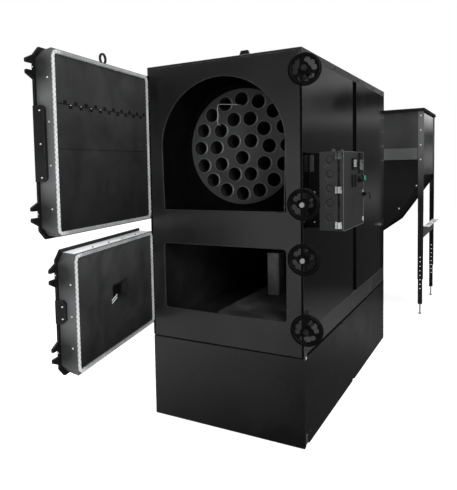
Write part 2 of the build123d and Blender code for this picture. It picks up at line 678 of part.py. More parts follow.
# Doors. Each is drawn on upright planes that turn with it about its hinge axis
class Door:
    """A door's heights, its angle from closed, and the planes that its pieces are drawn on."""

    def __init__(self, name, low, high, open_deg, clamp_insets, bolt_deg, wheel_turn_deg, edge_plate):
        self.name = name
        self.low = low
        self.high = high
        self.middle = (self.low + self.high) / 2
        turn = radians(open_deg)
        self.along = Vector(cos(turn), -sin(turn), 0)
        self.outward = Vector(-sin(turn), -cos(turn), 0)
        self.clamp_heights = (self.low + clamp_insets[0], self.high - clamp_insets[1])
        self.bolt_deg = bolt_deg
        self.wheel_turn_deg = wheel_turn_deg
        between_forks = self.clamp_heights[1] - self.clamp_heights[0] - FORK_HEIGHT
        self.edge_plate_reach, edge_plate_share, plate_rise = edge_plate
        self.plate_middle = self.middle + plate_rise
        self.edge_plate_height = edge_plate_share * between_forks
        self.clamp_names = (f"{name}_lower_clamp", f"{name}_upper_clamp")

    def plane(self, v):
        """Plane parallel to the door, v in front of the seal face: X from the hinge axis, Y up."""
        axis = Vector(HINGE_X, FRONT_Y - HINGE_REACH, 0)
        return Plane(
            origin=axis + self.outward * (v - HINGE_REACH), x_dir=self.along, z_dir=self.outward
        )

    def edge(self, u):
        """Upright plane across the door, u from the hinge axis: X towards the boiler, Y up."""
        axis = Vector(HINGE_X, FRONT_Y - HINGE_REACH, 0)
        return Plane(origin=axis + self.along * u, x_dir=-self.outward, z_dir=self.along)

    def level(self, height):
        """Level plane through the hinge axis: X along the door, Y towards the boiler."""
        origin = Vector(HINGE_X, FRONT_Y - HINGE_REACH, height)
        return Plane(origin=origin, x_dir=self.along, z_dir=(0, 0, 1))


DOORS = (
    Door(
        "upper_door",
        UPPER_SEAL_LOW,
        UPPER_SEAL_HIGH,
        UPPER_OPEN_DEG,
        UPPER_CLAMP_INSETS,
        UPPER_BOLT_DEG,
        UPPER_WHEEL_TURN_DEG,
        (UPPER_EDGE_PLATE_REACH, UPPER_EDGE_PLATE_SHARE, 0),
    ),
    Door(
        "lower_door",
        LOWER_SEAL_LOW,
        LOWER_SEAL_HIGH,
        LOWER_OPEN_DEG,
        LOWER_CLAMP_INSETS,
        LOWER_BOLT_DEG,
        LOWER_WHEEL_TURN_DEG,
        (LOWER_EDGE_PLATE_REACH, LOWER_EDGE_PLATE_SHARE, LOWER_PLATE_RISE),
    ),
)


def cut_corners(door, grow, facet):
    """Face of the door box, grown all round, with its two free corners cut at 45 degrees."""
    left = DOOR_BOX_LEFT - grow
    right = DOOR_BOX_RIGHT + grow
    low = door.low - BAND_WALL - grow
    high = door.high + BAND_WALL + grow
    with BuildLine() as outline:
        Polyline(
            (left, low),
            (right - facet, low),
            (right, low + facet),
            (right, high - facet),
            (right - facet, high),
            (left, high),
            close=True,
        )
    make_face(outline.edges())


def fork_outline(height):
    """Two prongs that taper from the door's edge to rounded tips on either side of the bolt's slot."""
    root = DOOR_BOX_RIGHT
    tip = DOOR_BOX_RIGHT + FORK_REACH
    outer = FORK_SLOT / 2 + FORK_TIP
    with BuildLine() as outline:
        Polyline(
            (root, height - FORK_HEIGHT / 2),
            (root + DOOR_PLATE_LAP, height - FORK_HEIGHT / 2),
            (tip, height - outer),
            (tip, height - FORK_SLOT / 2),
            (root + FORK_ROOT, height - FORK_SLOT / 2),
            (root + FORK_ROOT, height + FORK_SLOT / 2),
            (tip, height + FORK_SLOT / 2),
            (tip, height + outer),
            (root + DOOR_PLATE_LAP, height + FORK_HEIGHT / 2),
            (root, height + FORK_HEIGHT / 2),
            close=True,
        )
        fillet(outline.vertices().group_by(Axis.X)[-1], FORK_TIP_ROUND)
    make_face(outline.edges())


def seal_outline(door, inset):
    """Rounded rectangle of the rope seal's outer edge, drawn in by an inset."""
    with Locations((-HINGE_X, door.middle)):
        RectangleRounded(
            2 * (SEAL_HALF_WIDTH - inset), door.high - door.low - 2 * inset, SEAL_CORNER - inset
        )


def edge_plate_face(door, far):
    """Outline of the free edge's cover plate from v = far, with its two corners on the seal side rounded."""
    near = DOOR_PLATE_V - door.edge_plate_reach
    low = door.plate_middle - door.edge_plate_height / 2
    high = door.plate_middle + door.edge_plate_height / 2
    with BuildLine() as outline:
        Polyline(
            (HINGE_REACH - far, low),
            (HINGE_REACH - near - EDGE_PLATE_CORNER, low),
            (HINGE_REACH - near, low + EDGE_PLATE_CORNER),
            (HINGE_REACH - near, high - EDGE_PLATE_CORNER),
            (HINGE_REACH - near - EDGE_PLATE_CORNER, high),
            (HINGE_REACH - far, high),
            close=True,
        )
    make_face(outline.edges())


for door in DOORS:
    with BuildPart() as door_box:
        with BuildSketch(door.plane(DOOR_RIM_V)):
            cut_corners(door, 0, CORNER_SEAL_SIDE)
        with BuildSketch(door.plane(DOOR_PLATE_V)):
            cut_corners(door, 0, CORNER_FACET)
        loft()
        with BuildSketch(door.plane(DOOR_RIM_V)):
            cut_corners(door, -BAND_WALL, CORNER_FACET + BAND_WALL)
        extrude(amount=DOOR_BOX_DEPTH, mode=Mode.SUBTRACT)
        with BuildSketch(door.plane(DOOR_RIM_V)):
            seal_outline(door, 0)
        extrude(amount=SEAL_THICKNESS - SEAL_PROUD, mode=Mode.SUBTRACT)
    keep(door_box, f"{door.name}_box")

    with BuildPart() as door_lining:
        with BuildSketch(door.plane(SEAL_GAP + SEAL_THICKNESS)):
            cut_corners(door, -BAND_WALL, CORNER_FACET + BAND_WALL)
        extrude(amount=DOOR_PLATE_V - SEAL_GAP - SEAL_THICKNESS)
        with BuildSketch(door.plane(SEAL_GAP + LINING_RECESS)):
            seal_outline(door, SEAL_WIDTH)
        extrude(amount=SEAL_THICKNESS - LINING_RECESS)
        if door is DOORS[1]:
            with BuildSketch(door.plane(SEAL_GAP + LINING_RECESS)):
                with Locations((-HINGE_X, door.plate_middle)):
                    Rectangle(PORT_WIDTH, PORT_HEIGHT)
            extrude(amount=PORT_DEPTH, mode=Mode.SUBTRACT)
    keep(door_lining, f"{door.name}_lining")

    with BuildPart() as door_seal:
        with BuildSketch(door.plane(SEAL_GAP)):
            seal_outline(door, 0)
            with Locations((-HINGE_X, door.middle)):
                RectangleRounded(
                    2 * (SEAL_HALF_WIDTH - SEAL_WIDTH),
                    door.high - door.low - 2 * SEAL_WIDTH,
                    SEAL_CORNER - SEAL_WIDTH,
                    mode=Mode.SUBTRACT,
                )
        extrude(amount=SEAL_THICKNESS)
    keep(door_seal, f"{door.name}_seal")

    with BuildPart() as door_plate:
        with BuildSketch(door.plane(DOOR_PLATE_V)):
            cut_corners(door, DOOR_PLATE_LAP, CORNER_FACET)
            with Locations((DOOR_BOX_LEFT - DOOR_PLATE_LAP, door.middle)):
                Rectangle(
                    2 * (DOOR_PLATE_LAP - DOOR_PLATE_HINGE_LAP),
                    door.high - door.low + 2 * (BAND_WALL + DOOR_PLATE_LAP),
                    mode=Mode.SUBTRACT,
                )
            for height in door.clamp_heights:
                fork_outline(height)
        extrude(amount=DOOR_PLATE_THICKNESS)
    keep(door_plate, f"{door.name}_plate")

    with BuildPart() as door_fittings:
        for height in door.clamp_heights:
            with BuildSketch(door.level(height + HINGE_PLAY / 2)):
                Circle(HINGE_EYE_RADIUS)
                with Locations((DOOR_BOX_LEFT / 2, 0)):
                    Rectangle(DOOR_BOX_LEFT, HINGE_WEB)
                leaf_y = HINGE_REACH - DOOR_RIM_V - DOOR_BOX_DEPTH / 2
                with Locations((DOOR_BOX_LEFT - HINGE_LEAF_THICKNESS / 2, leaf_y)):
                    Rectangle(HINGE_LEAF_THICKNESS, DOOR_BOX_DEPTH - 2 * HINGE_LEAF_INSET)
                Circle(HINGE_PIN_RADIUS + HINGE_PIN_FIT, mode=Mode.SUBTRACT)
            extrude(amount=HINGE_EYE_HEIGHT)
        with BuildSketch(door.edge(DOOR_BOX_RIGHT)):
            edge_plate_face(door, DOOR_PLATE_V)
        extrude(amount=DOOR_PLATE_LAP)
        with BuildSketch(door.edge(DOOR_BOX_RIGHT + DOOR_PLATE_LAP)):
            edge_plate_face(door, DOOR_PLATE_V + DOOR_PLATE_THICKNESS)
        extrude(amount=EDGE_PLATE_THICKNESS)
        if door is DOORS[0]:
            eye_plane = door.plane(DOOR_RIM_V + DOOR_BOX_DEPTH / 2 - EYE_THICKNESS / 2)
            eye_base = door.high + BAND_WALL
            eye_u = -HINGE_X - EYE_OFFSET
            with BuildSketch(eye_plane):
                with Locations((eye_u, eye_base + EYE_STAND)):
                    Circle(EYE_RING_OUTER)
                with Locations((eye_u, eye_base + EYE_STAND / 2)):
                    Rectangle(2 * EYE_STEM_RADIUS, EYE_STAND)
                with Locations((eye_u, eye_base + EYE_STAND)):
                    Circle(EYE_RING_INNER, mode=Mode.SUBTRACT)
            extrude(amount=EYE_THICKNESS)
            with BuildSketch(door.level(eye_base)):
                with Locations((eye_u, HINGE_REACH - DOOR_RIM_V - DOOR_BOX_DEPTH / 2)):
                    Circle(EYE_COLLAR_RADIUS)
            extrude(amount=EYE_COLLAR_HEIGHT)
    keep(door_fittings, f"{door.name}_fittings")

# Hinge brackets on the front plate, with the pins that the doors turn on
with BuildPart() as hinge_brackets:
    for door in DOORS:
        for height in door.clamp_heights:
            base = height - HINGE_PLAY / 2 - HINGE_EYE_HEIGHT
            with BuildSketch(Plane.XY.offset(base)):
                with Locations((HINGE_X, FRONT_Y - HINGE_REACH)):
                    Circle(HINGE_EYE_RADIUS)
                with Locations((-SIDE_X + HINGE_ARM_WIDTH / 2, FRONT_Y - HINGE_REACH / 2)):
                    Rectangle(HINGE_ARM_WIDTH, HINGE_REACH)
            extrude(amount=HINGE_EYE_HEIGHT)
            with BuildSketch(Plane.XY.offset(base)):
                with Locations((HINGE_X, FRONT_Y - HINGE_REACH)):
                    Circle(HINGE_PIN_RADIUS)
            extrude(amount=2 * HINGE_EYE_HEIGHT + HINGE_PLAY + PIN_HEAD_HEIGHT)
keep(hinge_brackets, "hinge_brackets")

# Clevis brackets on the right side, with the pins that the swing bolts turn on
LUG_OFFSET = BOLT_EYE_HEIGHT / 2 + BOLT_PLAY
PIN_HALF = LUG_OFFSET + CLEVIS_LUG + PIN_HEAD_HEIGHT
with BuildPart() as clamp_brackets:
    for door in DOORS:
        for height in door.clamp_heights:
            slab(
                (SIDE_X, PIVOT_Y - CLEVIS_WIDTH / 2, height - CLEVIS_BASE_HEIGHT / 2),
                (
                    SIDE_X + CLEVIS_BASE_THICKNESS,
                    PIVOT_Y - CLEVIS_WIDTH / 2 + CLEVIS_BASE_DEPTH,
                    height + CLEVIS_BASE_HEIGHT / 2,
                ),
            )
            for bottom in (height + LUG_OFFSET, height - LUG_OFFSET - CLEVIS_LUG):
                with BuildSketch(Plane.XY.offset(bottom)):
                    with Locations((SIDE_X + PIVOT_REACH / 2, PIVOT_Y)):
                        Rectangle(PIVOT_REACH, CLEVIS_WIDTH)
                    with Locations((PIVOT_X, PIVOT_Y)):
                        Circle(CLEVIS_WIDTH / 2)
                extrude(amount=CLEVIS_LUG)
            with BuildSketch(Plane.XY.offset(height - PIN_HALF)):
                with Locations((PIVOT_X, PIVOT_Y)):
                    Circle(PIVOT_PIN_RADIUS)
            extrude(amount=2 * PIN_HALF)
keep(clamp_brackets, "clamp_brackets")

# Swing bolts and handwheels, one pair for each clamp
for door in DOORS:
    for name, height, bolt_deg, turn_deg in zip(
        door.clamp_names, door.clamp_heights, door.bolt_deg, door.wheel_turn_deg
    ):
        heading = Vector(sin(radians(bolt_deg)), -cos(radians(bolt_deg)), 0)
        pivot = Vector(PIVOT_X, PIVOT_Y, height)
        across = Vector(cos(radians(bolt_deg)), sin(radians(bolt_deg)), 0)

        with BuildPart() as swing_bolt:
            with BuildSketch(Plane.XY.offset(height - BOLT_EYE_HEIGHT / 2)):
                with Locations((PIVOT_X, PIVOT_Y)):
                    Circle(BOLT_EYE_RADIUS)
            extrude(amount=BOLT_EYE_HEIGHT)
            with BuildSketch(Plane(origin=pivot, x_dir=across, z_dir=heading)):
                Circle(BOLT_RADIUS)
            extrude(amount=BOLT_LENGTH + BOLT_OVERHANG)
            nut_start = BOLT_LENGTH + HUB_FRONT + NUT_PLAY
            with BuildSketch(Plane(origin=pivot + heading * nut_start, x_dir=across, z_dir=heading)):
                RegularPolygon(NUT_RADIUS, NUT_SIDES)
            extrude(amount=NUT_THICKNESS)
            with BuildSketch(Plane.XY.offset(height - BOLT_EYE_HEIGHT / 2)):
                with Locations((PIVOT_X, PIVOT_Y)):
                    Circle(PIVOT_PIN_RADIUS + PIVOT_FIT)
            extrude(amount=BOLT_EYE_HEIGHT, mode=Mode.SUBTRACT)
        keep(swing_bolt, f"{name}_bolt")

        centre = pivot + heading * BOLT_LENGTH
        spoke = across * cos(radians(turn_deg)) + Vector(0, 0, sin(radians(turn_deg)))
        face = Plane(origin=centre, x_dir=spoke, z_dir=heading)
        section = Plane(origin=centre, x_dir=spoke, z_dir=spoke.cross(heading))
        window_radius = WINDOW_LOBE_PLACE_SHARE * WHEEL_RADIUS
        window_turn = radians(WINDOW_CORNER_DEG)
        window_corner = (window_radius * cos(window_turn), window_radius * sin(window_turn))
        with BuildPart() as handwheel:
            with BuildSketch(section):
                with Locations((WHEEL_RADIUS - RIM_RADIUS, 0)):
                    RegularPolygon(RIM_RADIUS, RIM_SIDES, rotation=180 / RIM_SIDES)
            revolve(axis=Axis(centre, heading))
            with BuildSketch(face.offset(-WEB_THICKNESS / 2)):
                Circle(WHEEL_RADIUS - RIM_RADIUS)
                for index in range(SPOKES):
                    middle_deg = (index + 1 / 2) * 360 / SPOKES
                    for lobe_deg in (-WINDOW_LOBE_SPREAD_DEG, 0, WINDOW_LOBE_SPREAD_DEG):
                        with PolarLocations(window_radius, 1, middle_deg + lobe_deg):
                            Circle(WINDOW_LOBE_RADIUS, mode=Mode.SUBTRACT)
                    with PolarLocations(0, 1, middle_deg):
                        Polygon(
                            (WINDOW_APEX_SHARE * WHEEL_RADIUS, 0),
                            (window_corner[0], window_corner[1]),
                            (window_radius, 0),
                            (window_corner[0], -window_corner[1]),
                            align=None,
                            mode=Mode.SUBTRACT,
                        )
            extrude(amount=WEB_THICKNESS)
            with BuildSketch(face.offset(-HUB_BACK)):
                Circle(HUB_RADIUS)
            extrude(amount=HUB_BACK + HUB_FRONT)
            with BuildSketch(face.offset(-HUB_BACK)):
                Circle(BOLT_RADIUS + WHEEL_FIT)
            extrude(amount=HUB_BACK + HUB_FRONT, mode=Mode.SUBTRACT)
        keep(handwheel, f"{name}_handwheel")

# Control box: bracket, body, hinged lid and the controls on the lid
with BuildPart() as box_bracket:
    bracket_low = BOX_BOTTOM + BRACKET_MARGIN
    bracket_high = BOX_TOP - BRACKET_MARGIN
    for near, inward in ((BOX_FRONT_Y, 1), (BOX_REAR_Y, -1)):
        with BuildSketch(Plane.XY.offset(bracket_low)):
            with BuildLine():
                Polyline(
                    (SIDE_X, near),
                    (BOX_BACK_X, near),
                    (BOX_BACK_X, near + inward * BRACKET_FLANGE),
                    (BOX_BACK_X - BRACKET_SHEET, near + inward * BRACKET_FLANGE),
                    (BOX_BACK_X - BRACKET_SHEET, near + inward * BRACKET_SHEET),
                    (SIDE_X + BRACKET_SHEET, near + inward * BRACKET_SHEET),
                    (SIDE_X + BRACKET_SHEET, near + inward * BRACKET_FLANGE),
                    (SIDE_X, near + inward * BRACKET_FLANGE),
                    close=True,
                )
            make_face()
        extrude(amount=bracket_high - bracket_low)
keep(box_bracket, "box_bracket")

with BuildPart() as box_body:
    slab((BOX_BACK_X, BOX_FRONT_Y, BOX_BOTTOM), (BOX_SEAM_X, BOX_REAR_Y, BOX_TOP))
    fillet(box_body.edges().filter_by(Axis.X), BOX_EDGE)
    slab(
        (BOX_BACK_X + BOX_WALL, BOX_FRONT_Y + BOX_WALL, BOX_BOTTOM + BOX_WALL),
        (BOX_SEAM_X + CUT_OVERRUN, BOX_REAR_Y - BOX_WALL, BOX_TOP - BOX_WALL),
        mode=Mode.SUBTRACT,
    )
    for share in KNOCKOUT_SHARES:
        with BuildSketch(facing_front(BOX_FRONT_Y)):
            with Locations((BOX_BACK_X + BOX_BODY_DEPTH / 2, BOX_BOTTOM + share * BOX_HEIGHT)):
                Circle(KNOCKOUT_RADIUS)
        extrude(amount=-KNOCKOUT_DEPTH, mode=Mode.SUBTRACT)
    for share in LID_HINGE_SHARES:
        with BuildSketch(Plane.XY.offset(BOX_BOTTOM + share * BOX_HEIGHT - LID_HINGE_HEIGHT / 2)):
            with Locations((BOX_SEAM_X, BOX_FRONT_Y - LID_HINGE_RADIUS)):
                Circle(LID_HINGE_RADIUS)
        extrude(amount=LID_HINGE_HEIGHT / 2)
        with BuildSketch(Plane.XY.offset(BOX_BOTTOM + share * BOX_HEIGHT - LID_HINGE_HEIGHT / 2)):
            with Locations((BOX_SEAM_X, BOX_FRONT_Y - LID_HINGE_RADIUS)):
                Circle(LID_HINGE_PIN)
        extrude(amount=LID_HINGE_HEIGHT)
        with BuildSketch(Plane.XY.offset(BOX_BOTTOM + share * BOX_HEIGHT - LID_HINGE_HEIGHT / 2)):
            with Locations((BOX_SEAM_X - LID_HINGE_RADIUS, BOX_FRONT_Y - LID_HINGE_RADIUS / 2)):
                Rectangle(2 * LID_HINGE_RADIUS, LID_HINGE_RADIUS)
        extrude(amount=LID_HINGE_HEIGHT / 2)
keep(box_body, "box_body")

with BuildPart() as box_lid:
    slab((LID_BACK_X, BOX_FRONT_Y, BOX_BOTTOM), (LID_FACE_X, BOX_REAR_Y, BOX_TOP))
    fillet(box_lid.edges().filter_by(Axis.X), BOX_EDGE)
    fillet(box_lid.faces().sort_by(Axis.X)[-1].edges(), BOX_EDGE / 2)
    slab(
        (LID_BACK_X - CUT_OVERRUN, BOX_FRONT_Y + BOX_WALL, BOX_BOTTOM + BOX_WALL),
        (LID_FACE_X - BOX_WALL, BOX_REAR_Y - BOX_WALL, BOX_TOP - BOX_WALL),
        mode=Mode.SUBTRACT,
    )
    for share in LID_HINGE_SHARES:
        with BuildSketch(Plane.XY.offset(BOX_BOTTOM + share * BOX_HEIGHT + LID_HINGE_PLAY)):
            with Locations((BOX_SEAM_X, BOX_FRONT_Y - LID_HINGE_RADIUS)):
                Circle(LID_HINGE_RADIUS)
            with Locations((BOX_SEAM_X + LID_HINGE_RADIUS, BOX_FRONT_Y - LID_HINGE_RADIUS / 2)):
                Rectangle(2 * LID_HINGE_RADIUS, LID_HINGE_RADIUS)
            with Locations((BOX_SEAM_X, BOX_FRONT_Y - LID_HINGE_RADIUS)):
                Circle(LID_HINGE_PIN + LID_HINGE_FIT, mode=Mode.SUBTRACT)
        extrude(amount=LID_HINGE_HEIGHT / 2 - LID_HINGE_PLAY)
keep(box_lid, "box_lid")


def lid_face():
    """Plane on the lid's outer face, with its X from the hinge side and its Y up."""
    return Plane(origin=(LID_FACE_X, BOX_FRONT_Y, BOX_BOTTOM), x_dir=(0, 1, 0), z_dir=(1, 0, 0))


with BuildPart() as lid_controls:
    for size, place in (
        (DISPLAY_SIZE, DISPLAY_PLACE_SHARE),
        (METER_SIZE, METER_PLACE_SHARE),
        (SWITCH_SIZE, SWITCH_PLACE_SHARE),
        (FUSE_SIZE, FUSE_PLACE_SHARES[0]),
        (FUSE_SIZE, FUSE_PLACE_SHARES[1]),
    ):
        with BuildSketch(lid_face()):
            with Locations((place[0] * BOX_LENGTH, place[1] * BOX_HEIGHT)):
                Rectangle(size[0], size[1])
        extrude(amount=size[2])
    for place in BUTTON_PLACE_SHARES:
        with BuildSketch(lid_face()):
            with Locations((place[0] * BOX_LENGTH, place[1] * BOX_HEIGHT)):
                Circle(BUTTON_COLLAR)
        extrude(amount=BUTTON_COLLAR_HEIGHT)
        with BuildSketch(lid_face()):
            with Locations((place[0] * BOX_LENGTH, place[1] * BOX_HEIGHT)):
                Circle(BUTTON_RADIUS)
        extrude(amount=BUTTON_HEIGHT)
    with BuildSketch(lid_face()):
        with Locations((LOCK_PLACE_SHARE[0] * BOX_LENGTH, LOCK_PLACE_SHARE[1] * BOX_HEIGHT)):
            Circle(LOCK_RADIUS)
    extrude(amount=LOCK_HEIGHT)
    chamfer(lid_controls.faces().sort_by(Axis.X)[-1].edges(), CONTROL_EDGE)
keep(lid_controls, "lid_controls")

# Fuel hopper: bin, funnel, lid, front rails, legs, feet and ties
with BuildPart() as hopper_bin:
    with BuildSketch(Plane.XY.offset(FUNNEL_TOP)):
        with Locations((0, HOPPER_MIDDLE)):
            Rectangle(2 * HOPPER_HALF_WIDTH, HOPPER_DEPTH)
            Rectangle(
                2 * (HOPPER_HALF_WIDTH - HOPPER_WALL), HOPPER_DEPTH - 2 * HOPPER_WALL, mode=Mode.SUBTRACT
            )
    extrude(amount=HOPPER_TOP - FUNNEL_TOP)
    for end_wall in (HOPPER_FRONT, HOPPER_REAR - HOPPER_WALL):
        slab(
            (-HOPPER_HALF_WIDTH, end_wall, FUNNEL_TOP),
            (HOPPER_HALF_WIDTH, end_wall + HOPPER_WALL, RAIL_BOTTOM),
            mode=Mode.SUBTRACT,
        )
keep(hopper_bin, "hopper_bin")


def funnel_side(inset):
    """Corners of the funnel's right side in front view, top to outlet, moved in by an inset."""
    rise = inset * (UPPER_LEAN + LOWER_LEAN) / (UPPER_SLANT + LOWER_SLANT)
    waist = (FUNNEL_WAIST_HALF + rise * UPPER_LEAN - inset * UPPER_SLANT, FUNNEL_WAIST_HEIGHT + rise)
    top = (HOPPER_HALF_WIDTH - inset * UPPER_SLANT, FUNNEL_TOP)
    return [top, waist, (FUNNEL_OUTLET_HALF - inset * LOWER_SLANT, FUNNEL_OUTLET_HEIGHT)]


def both_sides(corners):
    """Face between a run of corners on the right and its mirror image on the left."""
    with BuildLine() as outline:
        Polyline(*corners, *[(-x, height) for x, height in reversed(corners)], close=True)
    make_face(outline.edges())


def flanged_side():
    """Right side of the funnel's end walls, which rise to the rail and stand past the slopes by a flange."""
    drop = FUNNEL_FLANGE * UPPER_SLANT / UPPER_LEAN
    shoulder = [(HOPPER_HALF_WIDTH, RAIL_BOTTOM), (HOPPER_HALF_WIDTH, FUNNEL_TOP - drop)]
    return shoulder + funnel_side(-FUNNEL_FLANGE)[1:]


with BuildPart() as hopper_funnel:
    with BuildSketch(facing_front(HOPPER_FRONT)):
        both_sides(funnel_side(0))
    extrude(amount=-HOPPER_DEPTH)
    for end_wall in (HOPPER_FRONT, HOPPER_REAR - HOPPER_WALL):
        with BuildSketch(facing_front(end_wall)):
            both_sides(flanged_side())
        extrude(amount=-HOPPER_WALL)
    with BuildSketch(facing_front(HOPPER_FRONT + HOPPER_WALL)):
        both_sides(funnel_side(HOPPER_WALL))
    extrude(amount=-(HOPPER_DEPTH - 2 * HOPPER_WALL), mode=Mode.SUBTRACT)
keep(hopper_funnel, "hopper_funnel")

with BuildPart() as hopper_lid:
    slab(
        (-HOPPER_HALF_WIDTH - LID_LAP, HOPPER_FRONT - LID_LAP, HOPPER_TOP - LID_SKIRT),
        (HOPPER_HALF_WIDTH + LID_LAP, HOPPER_REAR + LID_LAP, HOPPER_TOP + LID_SHEET),
    )
    chamfer(hopper_lid.faces().sort_by(Axis.Z)[-1].edges(), LID_SHEET / 2)
    slab(
        (
            -HOPPER_HALF_WIDTH - LID_LAP + LID_SHEET,
            HOPPER_FRONT - LID_LAP + LID_SHEET,
            HOPPER_TOP - LID_SKIRT,
        ),
        (HOPPER_HALF_WIDTH + LID_LAP - LID_SHEET, HOPPER_REAR + LID_LAP - LID_SHEET, HOPPER_TOP),
        mode=Mode.SUBTRACT,
    )
keep(hopper_lid, "hopper_lid")

with BuildPart() as hopper_rails:
    slab(
        (-HOPPER_HALF_WIDTH + LEG_FLANGE, HOPPER_FRONT - RAIL_THICKNESS, RAIL_BOTTOM),
        (HOPPER_HALF_WIDTH - LEG_FLANGE, HOPPER_FRONT, RAIL_BOTTOM + RAIL_HEIGHT),
    )
    slab(
        (-HOPPER_HALF_WIDTH + LEG_FLANGE, HOPPER_REAR, RAIL_BOTTOM),
        (HOPPER_HALF_WIDTH - LEG_FLANGE, HOPPER_REAR + RAIL_THICKNESS, RAIL_BOTTOM + RAIL_HEIGHT),
    )
keep(hopper_rails, "hopper_rails")


def corner_angle(corner_x, corner_y, flange, sheet):
    """Angle section with its outer corner at the given point, opening towards the hopper's middle."""
    towards_x = -1 if corner_x > 0 else 1
    towards_y = 1 if corner_y < HOPPER_MIDDLE else -1
    with BuildLine() as outline:
        Polyline(
            (corner_x, corner_y),
            (corner_x + towards_x * flange, corner_y),
            (corner_x + towards_x * flange, corner_y + towards_y * sheet),
            (corner_x + towards_x * sheet, corner_y + towards_y * sheet),
            (corner_x + towards_x * sheet, corner_y + towards_y * flange),
            (corner_x, corner_y + towards_y * flange),
            close=True,
        )
    make_face(outline.edges())


LEG_CORNERS = [
    (side * (HOPPER_HALF_WIDTH + LEG_SHEET), y)
    for side in (-1, 1)
    for y in (HOPPER_FRONT - LEG_SHEET, HOPPER_REAR + LEG_SHEET)
]
def leg_holes():
    """Cut the rows of height-setting holes through the legs' flanges, from front to back."""
    with BuildSketch(facing_front(HOPPER_FRONT - LEG_SHEET)) as holes:
        for side in (-1, 1):
            for index in range(LEG_HOLE_COUNT):
                hole_x = side * (HOPPER_HALF_WIDTH - LEG_FLANGE / 2 + LEG_SHEET)
                with Locations((hole_x, LEG_HOLE_LOWEST + index * LEG_HOLE_PITCH)):
                    Circle(LEG_HOLE_RADIUS)
    extrude(holes.sketch, amount=-(HOPPER_DEPTH + 2 * LEG_SHEET), mode=Mode.SUBTRACT)


with BuildPart() as hopper_legs:
    for corner_x, corner_y in LEG_CORNERS:
        with BuildSketch(Plane.XY.offset(LEG_END)):
            corner_angle(corner_x, corner_y, LEG_FLANGE, LEG_SHEET)
        extrude(amount=HOPPER_TOP - LID_SKIRT - LEG_END)
    leg_holes()
keep(hopper_legs, "hopper_legs")

SLIDE_CORNERS = [
    (side * HOPPER_HALF_WIDTH, y) for side in (-1, 1) for y in (HOPPER_FRONT, HOPPER_REAR)
]
def slide_middle(corner_x, corner_y):
    """Middle of a sliding leg end, which opens towards the hopper's middle."""
    towards_x = -1 if corner_x > 0 else 1
    towards_y = 1 if corner_y < HOPPER_MIDDLE else -1
    return corner_x + towards_x * SLIDE_FLANGE / 2, corner_y + towards_y * SLIDE_FLANGE / 2


with BuildPart() as leg_slides:
    for corner_x, corner_y in SLIDE_CORNERS:
        with BuildSketch(Plane.XY.offset(SLIDE_END)):
            corner_angle(corner_x, corner_y, SLIDE_FLANGE, SLIDE_SHEET)
        extrude(amount=SLIDE_TOP - SLIDE_END)
        with BuildSketch(Plane.XY.offset(SLIDE_END)):
            with Locations(slide_middle(corner_x, corner_y)):
                Rectangle(SLIDE_FLANGE, SLIDE_FLANGE)
        extrude(amount=FOOT_SHOE)
    leg_holes()
keep(leg_slides, "leg_slides")

with BuildPart() as hopper_feet:
    for corner_x, corner_y in SLIDE_CORNERS:
        with BuildSketch(Plane.XY):
            with Locations(slide_middle(corner_x, corner_y)):
                Circle(FOOT_PAD_RADIUS)
        extrude(amount=FOOT_PAD_HEIGHT)
        with BuildSketch(Plane.XY):
            with Locations(slide_middle(corner_x, corner_y)):
                Circle(FOOT_ROD_RADIUS)
        extrude(amount=SLIDE_END)
keep(hopper_feet, "hopper_feet")

with BuildPart() as hopper_ties:
    with BuildSketch(facing_front(HOPPER_FRONT + LEG_FLANGE - LEG_SHEET)):
        with BuildLine():
            Polyline(
                (HOPPER_HALF_WIDTH, TIE_BOTTOM),
                (HOPPER_HALF_WIDTH + LEG_SHEET, TIE_BOTTOM),
                (HOPPER_HALF_WIDTH + LEG_SHEET, TIE_BOTTOM + TIE_HEIGHT - TIE_SHEET),
                (HOPPER_HALF_WIDTH + TIE_SHELF, TIE_BOTTOM + TIE_HEIGHT - TIE_SHEET),
                (HOPPER_HALF_WIDTH + TIE_SHELF, TIE_BOTTOM + TIE_HEIGHT),
                (HOPPER_HALF_WIDTH, TIE_BOTTOM + TIE_HEIGHT),
                close=True,
            )
        make_face()
    extrude(amount=-(HOPPER_DEPTH - 2 * (LEG_FLANGE - LEG_SHEET)))
    mirror(about=Plane.YZ)
keep(hopper_ties, "hopper_ties")

# Feed screw housing from the funnel's outlet into the back of the boiler, with its drive
FEED_END = HOPPER_REAR + FEED_TAIL
with BuildPart() as feed_housing:
    with BuildSketch(facing_front(REAR_Y - PANEL_THICKNESS)):
        with Locations((0, FEED_AXIS_HEIGHT)):
            Circle(FEED_RADIUS)
    extrude(amount=REAR_Y - PANEL_THICKNESS - FEED_END)
    slab(
        (-INLET_HALF_WIDTH, HOPPER_FRONT, FEED_AXIS_HEIGHT),
        (INLET_HALF_WIDTH, HOPPER_REAR, FUNNEL_OUTLET_HEIGHT),
    )
    with BuildSketch(facing_front(FEED_END - FEED_FLANGE_THICKNESS)):
        with Locations((0, FEED_AXIS_HEIGHT)):
            Circle(FEED_FLANGE_RADIUS)
    extrude(amount=-FEED_FLANGE_THICKNESS)
    with BuildSketch(facing_front(REAR_Y - PANEL_THICKNESS)):
        with Locations((0, FEED_AXIS_HEIGHT)):
            Circle(FEED_RADIUS - FEED_WALL)
    extrude(amount=REAR_Y - PANEL_THICKNESS - FEED_END, mode=Mode.SUBTRACT)
    slab(
        (-FUNNEL_OUTLET_HALF + SLOPE_WALL, HOPPER_FRONT + INLET_WALL, FEED_AXIS_HEIGHT),
        (FUNNEL_OUTLET_HALF - SLOPE_WALL, HOPPER_REAR - INLET_WALL, FUNNEL_OUTLET_HEIGHT + CUT_OVERRUN),
        mode=Mode.SUBTRACT,
    )
keep(feed_housing, "feed_housing")

